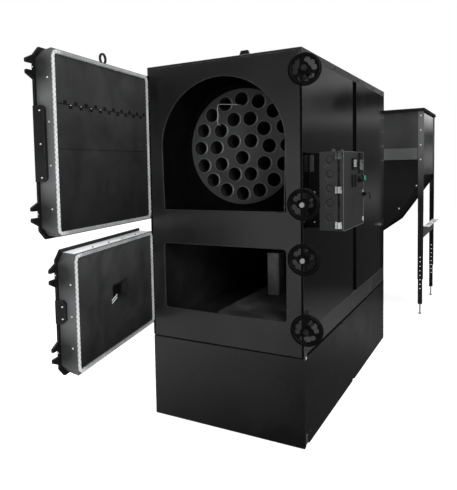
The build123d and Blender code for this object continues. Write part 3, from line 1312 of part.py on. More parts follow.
GEARBOX_WIDTH, GEARBOX_DEPTH, GEARBOX_HEIGHT = GEARBOX_SIZE
with BuildPart() as feed_drive:
    slab(
        (-GEARBOX_WIDTH / 2, FEED_END, FEED_AXIS_HEIGHT - GEARBOX_HEIGHT / 2),
        (GEARBOX_WIDTH / 2, FEED_END + GEARBOX_DEPTH, FEED_AXIS_HEIGHT + GEARBOX_HEIGHT / 2),
    )
    chamfer(feed_drive.edges().filter_by(Axis.Y), GEARBOX_EDGE)
    with BuildSketch(facing_front(FEED_END + GEARBOX_DEPTH)):
        with Locations((0, FEED_AXIS_HEIGHT)):
            Circle(MOTOR_RADIUS)
    extrude(amount=-MOTOR_LENGTH)
    chamfer(feed_drive.faces().sort_by(Axis.Y)[-1].edges(), GEARBOX_EDGE)
keep(feed_drive, "feed_drive")
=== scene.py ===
# %% [markdown]
# A black fire-tube boiler with both doors open, dressed in Blender.
# The casing, doors and hopper arrive as finished solids. They could be remade here, but then they would no longer
# match the moving model, so they stay as they are and only get finishes. What is made here is what a press or a
# lathe makes in the workshop: braided rope, screws, weld beads, threads and small fittings.

import bmesh
import bpy
import numpy as np
from mathutils import Matrix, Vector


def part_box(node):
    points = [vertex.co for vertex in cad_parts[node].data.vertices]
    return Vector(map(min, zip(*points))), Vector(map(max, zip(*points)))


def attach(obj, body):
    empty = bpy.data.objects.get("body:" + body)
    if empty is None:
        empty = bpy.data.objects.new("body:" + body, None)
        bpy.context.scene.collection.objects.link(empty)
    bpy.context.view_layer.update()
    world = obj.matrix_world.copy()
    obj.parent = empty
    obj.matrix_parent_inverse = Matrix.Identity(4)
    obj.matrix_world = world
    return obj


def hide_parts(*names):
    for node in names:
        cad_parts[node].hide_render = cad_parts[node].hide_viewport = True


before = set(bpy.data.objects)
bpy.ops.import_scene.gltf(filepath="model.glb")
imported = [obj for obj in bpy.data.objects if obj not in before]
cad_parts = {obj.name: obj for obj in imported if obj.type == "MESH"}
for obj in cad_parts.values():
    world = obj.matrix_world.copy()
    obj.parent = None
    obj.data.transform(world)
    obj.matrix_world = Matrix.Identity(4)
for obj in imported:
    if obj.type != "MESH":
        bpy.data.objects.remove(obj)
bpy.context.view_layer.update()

# %% [markdown]
# The camera stands to the right of the boiler's front, a little below the control box's top.
# It could be aimed by hand, but then every later comparison would be a guess. Its place and lens were solved from the
# casing's straight edges, so its matrix is built from a heading, a tilt and a small roll.

# %% Camera
def set_up(name, data, axes, place):
    """An object for a camera or a lamp: the columns of its matrix are its x, y and z axes and its place."""
    matrix = np.eye(4)
    matrix[:3, :3] = np.stack(axes, axis=1)
    matrix[:3, 3] = place
    holder = bpy.data.objects.new(name, data)
    holder.matrix_world = Matrix(matrix.tolist())
    bpy.context.collection.objects.link(holder)
    return holder


heading, tilt, roll = np.radians((31.21, -3.88, -1.35))
ahead = np.array([-np.sin(heading) * np.cos(tilt), np.cos(heading) * np.cos(tilt), np.sin(tilt)])
level = np.array([np.cos(heading), np.sin(heading), 0.0])
above = np.cross(level, ahead)
rolled = (np.cos(roll) * level + np.sin(roll) * above, np.cos(roll) * above - np.sin(roll) * level, -ahead)
camera_data = bpy.data.cameras.new("photo_camera")
camera_data.lens = 40.09
camera_data.sensor_width = 36.0
camera_data.shift_x = 0.1051
camera_data.shift_y = -0.0818
camera = set_up("photo_camera", camera_data, rolled, (1.3651, -3.7991, 1.5038))
bpy.context.scene.camera = camera
print("camera at", np.round(camera.location, 3))

# %% [markdown]
# Every finish below is a small tree of shader nodes. Wiring them one call at a time is long, so one helper makes a
# node, sets its options, and either links or fills each input. Four more make the nodes used most.

# %% Node helpers
def add_node(tree, kind, inputs=None, **options):
    """A shader node with its options set; an input that is a socket is linked, and any other value is filled in."""
    made = tree.nodes.new("ShaderNode" + kind)
    for name, value in options.items():
        setattr(made, name, value)
    for name, value in (inputs or {}).items():
        if isinstance(value, bpy.types.NodeSocket):
            tree.links.new(value, made.inputs[name])
        else:
            made.inputs[name].default_value = value
    return made


def add_ramp(tree, source, stops):
    """A colour ramp over a 0 to 1 value, with grey stops given as (place, grey)."""
    ramp = add_node(tree, "ValToRGB", {"Fac": source})
    elements = ramp.color_ramp.elements
    for element, (place, tone) in zip((elements[0], elements[1]), (stops[0], stops[-1])):
        element.position = place
        element.color = (tone, tone, tone, 1.0)
    for place, tone in stops[1:-1]:
        elements.new(place).color = (tone, tone, tone, 1.0)
    return ramp.outputs["Color"]


def stretch(tree, value, low, high):
    """A value mapped from low..high to 0..1 and clamped."""
    return add_node(tree, "MapRange", {"Value": value, "From Min": low, "From Max": high}).outputs["Result"]


def blend_colour(tree, mask, first, second):
    """Two colours mixed by a mask."""
    return add_node(tree, "Mix", {0: mask, 6: first, 7: second}, data_type="RGBA").outputs[2]


def part_of(tree, vector, letter):
    """One coordinate, X, Y or Z, of a vector."""
    return add_node(tree, "SeparateXYZ", {"Vector": vector}).outputs[letter]


# %% [markdown]
# The boiler was photographed in front of plain white. A black object in an evenly white room would turn grey, because
# paint mirrors the room. So the room is white to the camera, bright to matt surfaces, and to glossy ones it is a dim
# hall with bright and dark bands by height. What the long sides mirror lies behind the boiler and what the front
# mirrors lies before it, brighter low down on the left and higher up on the right. The dark band of the sides fades
# towards the front, and the hopper's end mirrors a brighter part, so there are five ramps, chosen by direction.

# %% Room
room = bpy.data.worlds.new("studio_room")
bpy.context.scene.world = room
room.use_nodes = True
tree = room.node_tree
tree.nodes.clear()
direction = add_node(tree, "TexCoord").outputs["Generated"]
toward_x, toward_y, toward_z = [part_of(tree, direction, letter) for letter in "XYZ"]
bands = [(0.0, 0.02), (0.285, 0.03), (0.308, 0.042), (0.335, 0.03), (0.358, 0.15), (0.377, 0.09), (0.395, 0.018)]
bands += [(0.448, 0.018), (0.471, 0.10), (0.498, 0.025), (0.527, 0.05), (0.540, 0.17), (0.549, 0.0), (0.559, 0.0)]
bands += [(0.570, 0.26), (0.590, 0.21), (0.70, 0.2), (1.0, 0.5)]
dim_glow, faded_band = 0.012, 0.13
side_stops = [(place, tone + dim_glow) for place, tone in bands]
near_stops = [(place, (tone or faded_band) + dim_glow) for place, tone in bands]
end_stops = [(0.0, 0.0), (0.489, 0.0), (0.495, 0.10), (0.503, 0.21), (0.511, 0.13), (0.518, 0.02), (0.524, 0.05)]
end_stops += [(0.5275, 0.25), (0.533, 0.52), (0.539, 1.0), (0.57, 1.0), (1.0, 0.4)]
left_stops = [(0.0, 0.0), (0.29, 0.03), (0.315, 0.56), (0.34, 0.70), (0.38, 0.42), (0.44, 0.45), (0.54, 0.42)]
left_stops += [(0.57, 0.1), (0.60, 0.0), (1.0, 0.2)]
right_stops = [(0.0, 0.0), (0.30, 0.0), (0.33, 0.06), (0.355, 0.26), (0.39, 0.62), (0.45, 0.70), (0.475, 1.0)]
right_stops += [(0.515, 0.58), (0.55, 0.2), (0.585, 0.06), (1.0, 0.2)]
lift = stretch(tree, toward_z, -1.0, 1.0)
all_stops = (left_stops, right_stops, side_stops, near_stops, end_stops)
left_hall, right_hall, side_hall, near_hall, end_hall = [add_ramp(tree, lift, stops) for stops in all_stops]
end_window = [(0.0, 0.0), (0.475, 0.0), (0.515, 1.0), (0.5625, 1.0), (0.575, 0.0), (1.0, 0.0)]
at_end = add_ramp(tree, stretch(tree, toward_x, -1.0, 1.0), end_window)
front_hall = blend_colour(tree, stretch(tree, toward_x, -0.55, -0.32), left_hall, right_hall)
long_side = blend_colour(tree, stretch(tree, toward_x, 0.245, 0.30), side_hall, near_hall)
back_hall = blend_colour(tree, at_end, long_side, end_hall)
mirrored = blend_colour(tree, stretch(tree, toward_y, -0.2, 0.2), front_hall, back_hall)
matt = add_ramp(tree, lift, [(0.0, 0.45), (0.5, 0.62), (1.0, 1.0)])
colours = {"seen": (1.0, 1.0, 1.0, 1.0), "glossy": mirrored, "matt": matt}
strengths = {"seen": 1.0, "glossy": 1.35, "matt": 0.95}
shown = {k: add_node(tree, "Background", {"Color": c, "Strength": strengths[k]}).outputs[0] for k, c in colours.items()}
rays = add_node(tree, "LightPath").outputs
unseen = add_node(tree, "MixShader", {0: rays["Is Glossy Ray"], 1: shown["matt"], 2: shown["glossy"]}).outputs[0]
whole = add_node(tree, "MixShader", {0: rays["Is Camera Ray"], 1: unseen, 2: shown["seen"]}).outputs[0]
add_node(tree, "OutputWorld", {"Surface": whole})
bpy.context.scene.view_settings.view_transform = "Standard"
print("room nodes", len(tree.nodes))

# %% [markdown]
# Three soft boxes shape the object: a key from the right front, a long one over the roof and a weak one from the
# left for the doors' inner faces. Area lights are used because a large light gives the broad, soft edges of studio
# highlights on paint.

# %% Soft boxes
RIGHT, BACK, UP = (1.0, 0.0, 0.0), (0.0, 1.0, 0.0), (0.0, 0.0, 1.0)
FRONT = (0.0, -1.0, 0.0)


def unit(vector):
    """The vector at length one."""
    return np.asarray(vector, float) / np.linalg.norm(vector)


def soft_box(name, place, target, size, watts):
    """An area light at a place, turned so that its -Z axis points at the target."""
    lamp = bpy.data.lights.new(name, "AREA")
    lamp.shape = "RECTANGLE"
    lamp.size, lamp.size_y = size
    lamp.energy = watts
    away = unit(np.subtract(place, target))
    side = unit(np.cross(UP, away))
    return set_up(name, lamp, (side, np.cross(away, side), away), place)


soft_box("key_box", (4.2, -4.6, 3.6), (0.2, -0.6, 1.0), (2.4, 2.4), 210.0)
soft_box("roof_box", (0.4, 0.6, 5.2), (0.0, 0.4, 1.0), (2.0, 5.0), 150.0)
door_light = soft_box("door_box", (-3.6, -4.4, 2.6), (-0.3, -1.4, 1.2), (2.0, 2.4), 90.0)
door_light.visible_glossy = False

# %% [markdown]
# Pieces are worked out as whole arrays of points on a grid. Three helpers do that: the faces of a grid, a shape turned
# on a lathe, and a profile carried along a path. Poles come out as rows of equal points, so doubles are merged and the
# faces turned outwards when the mesh is made.

# %% Grid and mesh helpers
def grid_quads(rows, columns, close_rows=False, close_columns=True):
    """Faces of a grid of rows x columns points. A closed side joins its last line to its first."""
    row, column = np.meshgrid(
        np.arange(rows if close_rows else rows - 1), np.arange(columns if close_columns else columns - 1), indexing="ij"
    )
    next_row, next_column = (row + 1) % rows, (column + 1) % columns
    corners = [row * columns + column, row * columns + next_column]
    corners += [next_row * columns + next_column, next_row * columns + column]
    return np.stack(corners, -1).reshape(-1, 4)


def join(*shapes):
    """Several (points, quads) shapes as one, with each one's faces counted on from the last."""
    counts = np.cumsum([0] + [len(points) for points, _ in shapes])
    return (
        np.concatenate([points for points, _ in shapes]),
        np.concatenate([quads + start for (_, quads), start in zip(shapes, counts)]),
    )


def add_piece(name, shape, finish, body, sharp_deg=38.0):
    """A mesh object from a shape, with doubles merged, faces outwards and only sharp corners left sharp."""
    points, quads = shape
    mesh = bpy.data.meshes.new(name)
    mesh.from_pydata(points.tolist(), [], quads.tolist())
    work = bmesh.new()
    work.from_mesh(mesh)
    bmesh.ops.remove_doubles(work, verts=work.verts, dist=1e-6)
    bmesh.ops.recalc_face_normals(work, faces=work.faces)
    work.to_mesh(mesh)
    work.free()
    mesh.shade_smooth()
    mesh.set_sharp_from_angle(angle=np.radians(sharp_deg))
    mesh.materials.append(finish)
    piece = bpy.data.objects.new(name, mesh)
    bpy.context.collection.objects.link(piece)
    if body:
        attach(piece, body)
    print(name, "faces", len(mesh.polygons))
    return piece


# %% Shape helpers
def turned(radius, height, sides):
    """Rings about z: x = radius cos a, y = radius sin a, with a radius and a height for each ring or each point."""
    angle = np.linspace(0.0, 2 * np.pi, sides, endpoint=False)
    points = np.stack([radius * np.cos(angle), radius * np.sin(angle), height + 0 * angle], -1)
    return points.reshape(-1, 3), grid_quads(len(points), sides)


def lathe(profile, sides):
    """A profile of (radius, height) pairs turned about z."""
    profile = np.asarray(profile, float)
    return turned(profile[:, :1], profile[:, 1:], sides)


def rounded_outline(width, height, corner, steps=6):
    """A rectangle with round corners, as quarter circles of the corner's radius set at the four inner corners."""
    corner = max(corner, 1e-5)
    turn = np.linspace(0.0, np.pi / 2, steps)[None, :] + np.pi / 2 * np.arange(4)[:, None]
    sign_x = np.array([1, -1, -1, 1])[:, None]
    sign_y = np.array([1, 1, -1, -1])[:, None]
    x = sign_x * (width / 2 - corner) + corner * np.cos(turn)
    y = sign_y * (height / 2 - corner) + corner * np.sin(turn)
    return np.stack([x, y], -1).reshape(-1, 2)


def pad(width, height, thickness, corner, edge):
    """A flat block with round corners and an eased front edge: the outline shrinks by edge (1 - cos) as it rises."""
    ease = np.linspace(0.0, np.pi / 2, 4)
    inset = np.concatenate([[0.0], edge * (1 - np.cos(ease))])
    rise = np.concatenate([[0.0, 0.0], thickness - edge + edge * np.sin(ease), [thickness]])
    rows = [rounded_outline(width - 2 * i, height - 2 * i, corner - i) for i in inset]
    flat = np.stack([rows[0] * 0] + rows + [rows[-1] * 0])
    points = np.concatenate([flat, np.broadcast_to(rise[:, None, None], flat.shape[:2] + (1,))], -1)
    return points.reshape(-1, 3), grid_quads(flat.shape[0], flat.shape[1])


def carry(path, section, reference, closed=False):
    """A section carried along a path: point = path + s0 * across + s1 * lift, where across = reference x tangent.

    The section is one (m, 2) outline or one for each path point; an open path gets a pole at each end."""
    path = np.asarray(path, float)
    tangent = np.roll(path, -1, 0) - np.roll(path, 1, 0) if closed else np.gradient(path, axis=0)
    tangent /= np.linalg.norm(tangent, axis=1, keepdims=True)
    across = np.cross(np.broadcast_to(reference, path.shape), tangent)
    across /= np.linalg.norm(across, axis=1, keepdims=True)
    lift = np.cross(tangent, across)
    section = np.broadcast_to(section, (len(path),) + np.shape(section)[-2:])
    points = path[:, None] + section[..., :1] * across[:, None] + section[..., 1:] * lift[:, None]
    if not closed:
        points = np.concatenate([0 * points[:1] + path[0], points, 0 * points[:1] + path[-1]])
    rows, columns = points.shape[:2]
    return points.reshape(-1, 3), grid_quads(rows, columns, close_rows=closed)


# %% Outlines and places
def circle(radius, sides):
    """A circle as (x, y) pairs."""
    angle = np.linspace(0.0, 2 * np.pi, sides, endpoint=False)
    return radius * np.stack([np.cos(angle), np.sin(angle)], -1)


def lay(outline, origin, first, second):
    """A flat outline laid in space: point = origin + x first + y second."""
    return np.asarray(origin) + outline[:, :1] * np.asarray(first) + outline[:, 1:] * np.asarray(second)


def line(start, step, count):
    """Points from a start along a step, at even shares of it."""
    return np.asarray(start) + np.linspace(0.0, 1.0, count)[:, None] * np.asarray(step)


def walk(corners, spacing):
    """A closed outline walked at even spacing, by linear interpolation along its length; also its length."""
    closed = np.concatenate([corners, corners[:1]])
    walked = np.concatenate([[0.0], np.cumsum(np.linalg.norm(np.diff(closed, axis=0), axis=1))])
    even = np.linspace(0.0, walked[-1], int(round(walked[-1] / spacing)), endpoint=False)
    return np.stack([np.interp(even, walked, closed[:, k]) for k in (0, 1)], -1), walked[-1]


def loop(half_width, half_height, corner, spacing):
    """A rounded rectangle walked at even spacing."""
    return walk(rounded_outline(2 * half_width, 2 * half_height, corner, 16), spacing)[0]


def stand_on(shape, places, normal, upright=UP):
    """Copies of a shape: point = place + x side + y up + z normal, for all places at once."""
    points, quads = shape
    normal = unit(normal)
    side = np.cross(upright, normal)
    side = unit(side) if np.linalg.norm(side) > 1e-6 else np.array(RIGHT)
    local = points @ np.stack([side, np.cross(normal, side), normal])
    places = np.asarray(places, float).reshape(-1, 1, 3)
    counts = np.arange(len(places))[:, None, None] * len(points)
    return (places + local).reshape(-1, 3), (quads + counts).reshape(-1, 4)


print("shape helpers ready")

# %% [markdown]
# Paint, dust, rubbed edges, brushing, fibres and soot are effects that several finishes share. Each one is a shader
# node group with named sockets, built once. A group puts out a mask, a tone or a height, and each material decides
# what to do with it.

# %% Effect groups
def new_effect(name, inputs, outputs):
    """An empty shader node group with float inputs (name: default) and float outputs."""
    effect = bpy.data.node_groups.new(name, "ShaderNodeTree")
    for label, value in inputs.items():
        effect.interface.new_socket(label, in_out="INPUT", socket_type="NodeSocketFloat").default_value = value
    for label in outputs:
        effect.interface.new_socket(label, in_out="OUTPUT", socket_type="NodeSocketFloat")
    given = effect.nodes.new("NodeGroupInput")
    result = effect.nodes.new("NodeGroupOutput")
    return effect, given.outputs, result.inputs, object_place(effect)


def object_place(tree):
    """The point's place in the object, in metres."""
    return add_node(tree, "TexCoord").outputs["Object"]


def face_normal(tree):
    """The direction a face looks in."""
    return add_node(tree, "NewGeometry").outputs["Normal"]


def math(tree, operation, first, second=0.5, clamp=False):
    """One Math node's value."""
    return add_node(tree, "Math", {0: first, 1: second}, operation=operation, use_clamp=clamp).outputs[0]


def times(tree, first, second):
    """Two values multiplied."""
    return math(tree, "MULTIPLY", first, second)


def noise(tree, place, scale, detail=3.0, roughness=0.5, distortion=0.0):
    """One Noise texture's grey value."""
    wanted = {"Vector": place, "Scale": scale, "Detail": detail, "Roughness": roughness, "Distortion": distortion}
    return add_node(tree, "TexNoise", wanted).outputs[0]


# %% Paint skin
# Orange peel is fine noise; the sheet's gentle dents are broad noise; haze is cloudy noise in between.
sockets = {"Peel Scale": 620.0, "Dents": 18.0, "Haze Scale": 2.6}
tree, given, result, place = new_effect("paint_skin", sockets, ["Height", "Haze"])
peel = noise(tree, place, given["Peel Scale"], 2.0)
dents = times(tree, noise(tree, place, 2.3, 1.0), given["Dents"])
haze = noise(tree, place, given["Haze Scale"], 5.0, 0.55, 0.4)
tree.links.new(math(tree, "ADD", peel, dents), result["Height"])
tree.links.new(stretch(tree, haze, 0.34, 0.66), result["Haze"])
print("effect", tree.name)

# %% Settled dust and painted top highlight
# Dust lies where a face looks up, in patches; much of it in a pale tone paints a highlight on up-facing tops.
tree, given, result, place = new_effect("ledge_dust_and_top_light", {"Amount": 0.5, "Patch Scale": 14.0}, ["Mask"])
level_face = stretch(tree, part_of(tree, face_normal(tree), "Z"), 0.75, 1.0)
patches = stretch(tree, noise(tree, place, given["Patch Scale"], 6.0, 0.6), 0.3, 0.75)
tree.links.new(times(tree, times(tree, level_face, patches), given["Amount"]), result["Mask"])
print("effect", tree.name)

# %% Rubbed edges and painted edge highlight
# Near an edge the bevelled normal leaves the true one; where they differ, paint has rubbed thin.
# In a pale tone the same mask paints an edge highlight.
tree, given, result, place = new_effect("rubbed_and_lit_edge", {"Reach": 0.003, "Amount": 0.6}, ["Mask"])
rounded = add_node(tree, "Bevel", {"Radius": given["Reach"]}, samples=4).outputs["Normal"]
agree = add_node(tree, "VectorMath", {0: rounded, 1: face_normal(tree)}, operation="DOT_PRODUCT").outputs["Value"]
edge = stretch(tree, agree, 0.985, 0.80)
broken = stretch(tree, noise(tree, place, 55.0, 6.0, 0.6), 0.38, 0.62)
tree.links.new(times(tree, times(tree, edge, broken), given["Amount"]), result["Mask"])
print("effect", tree.name)

# %% Brushed grain
# Brushing is noise drawn out along one axis: its place is scaled far more across than along.
sockets = {"Along X": 60.0, "Along Y": 60.0, "Along Z": 1500.0}
tree, given, result, place = new_effect("brushed_grain", sockets, ["Height", "Tone"])
scales = add_node(tree, "CombineXYZ", {k: given[label] for k, label in enumerate(sockets)}).outputs[0]
drawn = add_node(tree, "VectorMath", {0: place, 1: scales}, operation="MULTIPLY").outputs["Vector"]
grain = noise(tree, drawn, 1.0, 3.0)
tree.links.new(grain, result["Height"])
tree.links.new(stretch(tree, grain, 0.3, 0.7), result["Tone"])
print("effect", tree.name)

# %% Fibre board and soot
# Pressed board shows short fibres and pores; soot is cloudy and covers most of what it touches.
tree, given, result, place = new_effect("board_fibre", {"Scale": 160.0, "Cloud Scale": 5.0}, ["Height", "Tone"])
fibres = noise(tree, place, given["Scale"], 8.0, 0.65, 1.2)
pores = add_node(tree, "TexVoronoi", {"Vector": place, "Scale": given["Scale"]}).outputs["Distance"]
clouds = stretch(tree, noise(tree, place, given["Cloud Scale"], 6.0, 0.6, 0.5), 0.32, 0.68)
tree.links.new(math(tree, "ADD", fibres, times(tree, pores, 0.4)), result["Height"])
tree.links.new(clouds, result["Tone"])
tree, given, result, place = new_effect("soot_film", {"Scale": 9.0, "Cover": 0.6}, ["Mask"])
cover = math(tree, "ADD", noise(tree, place, given["Scale"], 7.0, 0.62, 0.6), times(tree, given["Cover"], 0.5))
tree.links.new(stretch(tree, cover, 0.55, 0.95), result["Mask"])
print("effects", [effect.name for effect in bpy.data.node_groups])

# %% [markdown]
# Most of the boiler is painted sheet steel. One recipe makes all its paints: the haze mixes two tones and moves the
# roughness, dust lightens the ledges, rubbed edges show bare metal grey, and the skin's height feeds a bump. A pale
# dust tone also paints a highlight on up-facing tops, a pale rub tone paints an edge highlight, and a height range
# paints shade. Each paint has its own tones, gloss and dents.

# %% Paint recipe
def use_effect(tree, effect, **values):
    """A named effect group placed in a material, with its own input values; double underscores stand for spaces."""
    made = tree.nodes.new("ShaderNodeGroup")
    made.node_tree = bpy.data.node_groups[effect]
    for name, value in values.items():
        made.inputs[name.replace("__", " ")].default_value = value
    return made.outputs


def grey(tone):
    """A neutral colour, very slightly cold."""
    return (tone * 0.985, tone, tone * 1.015, 1.0)


def spread(tree, value, low, high):
    """A 0 to 1 value mapped to low..high."""
    return add_node(tree, "MapRange", {"Value": value, "To Min": low, "To Max": high}).outputs["Result"]


def darken(tree, colour, tone, axis, start, end, amount):
    """A colour that turns more and more to a dark tone along one axis of the object."""
    reach = stretch(tree, part_of(tree, object_place(tree), axis), start, end)
    return blend_colour(tree, times(tree, reach, amount), colour, grey(tone))


def new_finish(name, specular=0.5, metallic=0.0, coat=0.0):
    """A material, its tree and its Principled shader, with the uniform numbers set on the shader itself."""
    finish = bpy.data.materials.new(name)
    finish.use_nodes = True
    shader = finish.node_tree.nodes["Principled BSDF"]
    shader.inputs["Specular IOR Level"].default_value = specular
    shader.inputs["Metallic"].default_value = metallic
    shader.inputs["Coat Weight"].default_value = coat
    return finish, finish.node_tree, shader


def dress(tree, shader, colour, rough, height=None, strength=0.5, distance=0.0):
    """The colour, the roughness and, where a height is given, its bump, wired into a shader."""
    tree.links.new(colour, shader.inputs["Base Color"])
    tree.links.new(rough, shader.inputs["Roughness"])
    if height is not None:
        bump = add_node(tree, "Bump", {"Strength": strength, "Distance": distance, "Height": height})
        tree.links.new(bump.outputs["Normal"], shader.inputs["Normal"])


def paint(
    name, dark, light, gloss, dull, specular=0.3, dents=18.0, dust_and_top_light=0.35, rub_and_edge_light=0.5, peel=620.0, bump=0.00006,
    dust_and_top_light_tone=0.16, rub_and_edge_light_tone=0.12, painted_shade=None,
):
    """Painted sheet: tones and roughness follow the haze, dust lies on ledges, edges are rubbed; pale tones paint
    highlights.

    A (from, to, amount) given for painted shade turns the paint darker and darker from one height to another."""
    finish, tree, shader = new_finish(name, specular)
    skin = use_effect(tree, "paint_skin", Peel__Scale=peel, Dents=dents)
    dust_and_top_light_mask = use_effect(tree, "ledge_dust_and_top_light", Amount=dust_and_top_light)["Mask"]
    rub_and_edge_light_mask = use_effect(tree, "rubbed_and_lit_edge", Amount=rub_and_edge_light)["Mask"]
    colour = blend_colour(tree, skin["Haze"], grey(dark), grey(light))
    if painted_shade:
        colour = darken(tree, colour, min(0.006, dark), "Z", *painted_shade)
    colour = blend_colour(tree, dust_and_top_light_mask, colour, grey(dust_and_top_light_tone))
    colour = blend_colour(tree, rub_and_edge_light_mask, colour, grey(rub_and_edge_light_tone))
    rough = math(tree, "ADD", spread(tree, skin["Haze"], gloss, dull), times(tree, dust_and_top_light_mask, 0.35), clamp=True)
    dress(tree, shader, colour, rough, skin["Height"], 0.55, bump)
    return finish


# %% Casing paints
# The big sheets are sprayed flat, with a coarse peel and a very low bump; plinth and bands show no rubbed edges.
flat = dict(specular=0.5, bump=0.00002)
soft = dict(dents=70.0, bump=0.00002, peel=120.0, rub_and_edge_light=0.0)
side_gloss = paint("side_gloss", 0.0004, 0.0008, 0.07, 0.12, dents=150.0, peel=80.0, **flat)
# The front plate is painted darker towards its top, and the plinth darker towards the floor: painted shade.
front_satin = paint("front_satin", 0.010, 0.016, 0.28, 0.36, dents=40.0, peel=160.0, painted_shade=(1.55, 2.02, 0.9), **flat)
plinth_gloss = paint("plinth_gloss", 0.001, 0.002, 0.22, 0.30, specular=0.75, painted_shade=(0.46, 0.03, 0.9), **soft)
# The side bands' paint is lighter than the sides': a painted reflection.
band_painted_reflection = paint("band_painted_reflection", 0.020, 0.030, 0.22, 0.30, specular=0.5, **soft)
channel_black = paint("channel_black", 0.001, 0.003, 0.5, 0.7, specular=0.05, dents=4.0, rub_and_edge_light=0.2)
roof_gloss = paint("roof_gloss", 0.008, 0.014, 0.3, 0.45, specular=0.35, dents=26.0, dust_and_top_light=0.5, rub_and_edge_light=0.9, rub_and_edge_light_tone=0.16)
bracket_black = paint("bracket_black", 0.006, 0.012, 0.38, 0.5, specular=0.14, dents=3.0, rub_and_edge_light=0.8)
# The box's rubbed edges are pale: partly wear, partly a painted edge highlight.
box_coat = paint("box_coat", 0.018, 0.026, 0.42, 0.55, 0.2, dents=4.0, peel=1400.0, bump=0.00004, rub_and_edge_light_tone=0.2)
print("paints", [m.name for m in bpy.data.materials][:12])

# %% Floor
floor_finish, tree, shader = new_finish("pale_floor", specular=0.05)
speckle = add_node(tree, "TexNoise", {"Vector": object_place(tree), "Scale": 3.0}).outputs[0]
pale = blend_colour(tree, speckle, (0.93, 0.93, 0.93, 1.0), (0.96, 0.96, 0.96, 1.0))
tree.links.new(pale, shader.inputs["Base Color"])
tree.links.new(pale, shader.inputs["Emission Color"])
shader.inputs["Emission Strength"].default_value = 0.36
shader.inputs["Roughness"].default_value = 0.9
floor_reach = np.linspace(-14.0, 14.0, 3)
floor_x, floor_y = np.meshgrid(floor_reach, floor_reach, indexing="ij")
floor_points = np.stack([floor_x, floor_y, 0 * floor_x - 0.0005], -1).reshape(-1, 3)
floor = add_piece("studio_floor", (floor_points, grid_quads(3, 3, close_columns=False)), floor_finish, None)
if floor.data.polygons[0].normal.z < 0:
    floor.data.flip_normals()
floor.visible_glossy = False

# %% [markdown]
# The door bands, the outer plates and the linings are three different surfaces. The band is a paler, flatter paint
# with round painted shadows of the clamp forks, darkened at given points. The lining is pressed
# insulating board, matt and faintly cloudy.

# %% Door geometry
hinge = np.array([-0.466, -1.117, 0.0])
hinge_reach = 0.042
door_middle, free_edge, fork_root, plate_edge = 0.466, 0.912, 0.928, 0.932
door_open = {"upper_door": np.radians(83.9), "lower_door": np.radians(78.9)}
fork_heights = {"upper_door": (1.312, 1.960), "lower_door": (0.690, 1.041)}


def door_axes(door):
    """The door's direction from hinge to free edge, and from its inner to its outer face."""
    turn = door_open[door]
    return np.array([np.cos(turn), -np.sin(turn), 0.0]), np.array([-np.sin(turn), -np.cos(turn), 0.0])


def door_point(door, along, depth, height):
    """A point on an open door: hinge + along * u + outward * (depth - reach), at a height. Works on whole arrays."""
    forward, outward = door_axes(door)
    along, depth, height = np.broadcast_arrays(along, depth, height)
    flat = hinge + along[..., None] * forward + (depth[..., None] - hinge_reach) * outward
    return flat + height[..., None] * np.array(UP)


print("door corner", np.round(door_point("upper_door", free_edge, 0.009, 2.035), 3))


# %% Door finishes
def door_band(door):
    """Paler band paint with round painted shadows of the forks: shadow = 1 - distance to a fork / reach."""
    # The band's up-facing top is painted near white: partly pale bare metal, partly a painted highlight.
    looks = dict(specular=0.15, dents=8.0, dust_and_top_light=12.0, rub_and_edge_light=0.3, dust_and_top_light_tone=0.9)
    finish = paint(f"{door}_band", 0.084, 0.114, 0.42, 0.55, **looks)
    tree = finish.node_tree
    shader = tree.nodes["Principled BSDF"]
    colour = shader.inputs["Base Color"].links[0].from_socket
    place = object_place(tree)
    for height in fork_heights[door]:
        # Each fork gets a round painted shadow on the band.
        ends = {0: place, 1: tuple(door_point(door, free_edge, 0.072, height))}
        far = add_node(tree, "VectorMath", ends, operation="DISTANCE").outputs["Value"]
        fork_shadow = times(tree, stretch(tree, far, 0.135, 0.03), 0.88)
        colour = blend_colour(tree, fork_shadow, colour, grey(0.012))
    tree.links.new(colour, shader.inputs["Base Color"])
    return finish


def board(name, dark, light, scale=160.0, cloud=5.0, bump=0.0004, specular=0.15, soot=None, fade=None):
    """Pressed board or cast refractory: cloudy tone, fibrous bump, soot on top where it is given.

    fade = (axis, from, to, amount) darkens it more and more along one axis."""
    finish, tree, shader = new_finish(name, specular)
    fibre = use_effect(tree, "board_fibre", Scale=scale, Cloud__Scale=cloud)
    colour = blend_colour(tree, fibre["Tone"], grey(dark), grey(light))
    if fade:
        colour = darken(tree, colour, 0.003, *fade)
    if soot:
        colour = blend_colour(tree, use_effect(tree, "soot_film", Cover=soot)["Mask"], colour, grey(0.012))
    dress(tree, shader, colour, spread(tree, fibre["Tone"], 0.62, 0.85), fibre["Height"], 0.5, bump)
    return finish


door_plate_black = paint("door_plate_black", 0.004, 0.008, 0.3, 0.42, specular=0.15, dents=10.0)
edge_plate_black = paint("edge_plate_black", 0.008, 0.014, 0.34, 0.46, specular=0.14, dents=5.0)
linings = {
    "upper_door": board("upper_lining", 0.020, 0.036, fade=("Z", 2.05, 1.25, 0.8)),
    "lower_door": board("lower_lining", 0.024, 0.046, fade=("Z", 1.10, 0.62, 0.75)),
}
refractory_block = board("refractory_block", 0.16, 0.34, 90.0, 8.0, 0.0012, soot=0.1)
# The hearth and the furnace are painted darker towards the front: painted shade.
hearth_cast = board("hearth_cast", 0.08, 0.19, 90.0, 6.0, 0.0010, soot=0.15, fade=("Y", -0.72, -1.06, 0.85))
chamber_soot = board("chamber_soot", 0.001, 0.003, 220.0, 4.0, 0.0006, 0.05)
furnace_soot = board("furnace_soot", 0.018, 0.040, 160.0, 5.0, 0.0008, 0.05, fade=("Y", -0.45, -1.06, 0.9))
print("door and furnace finishes made")

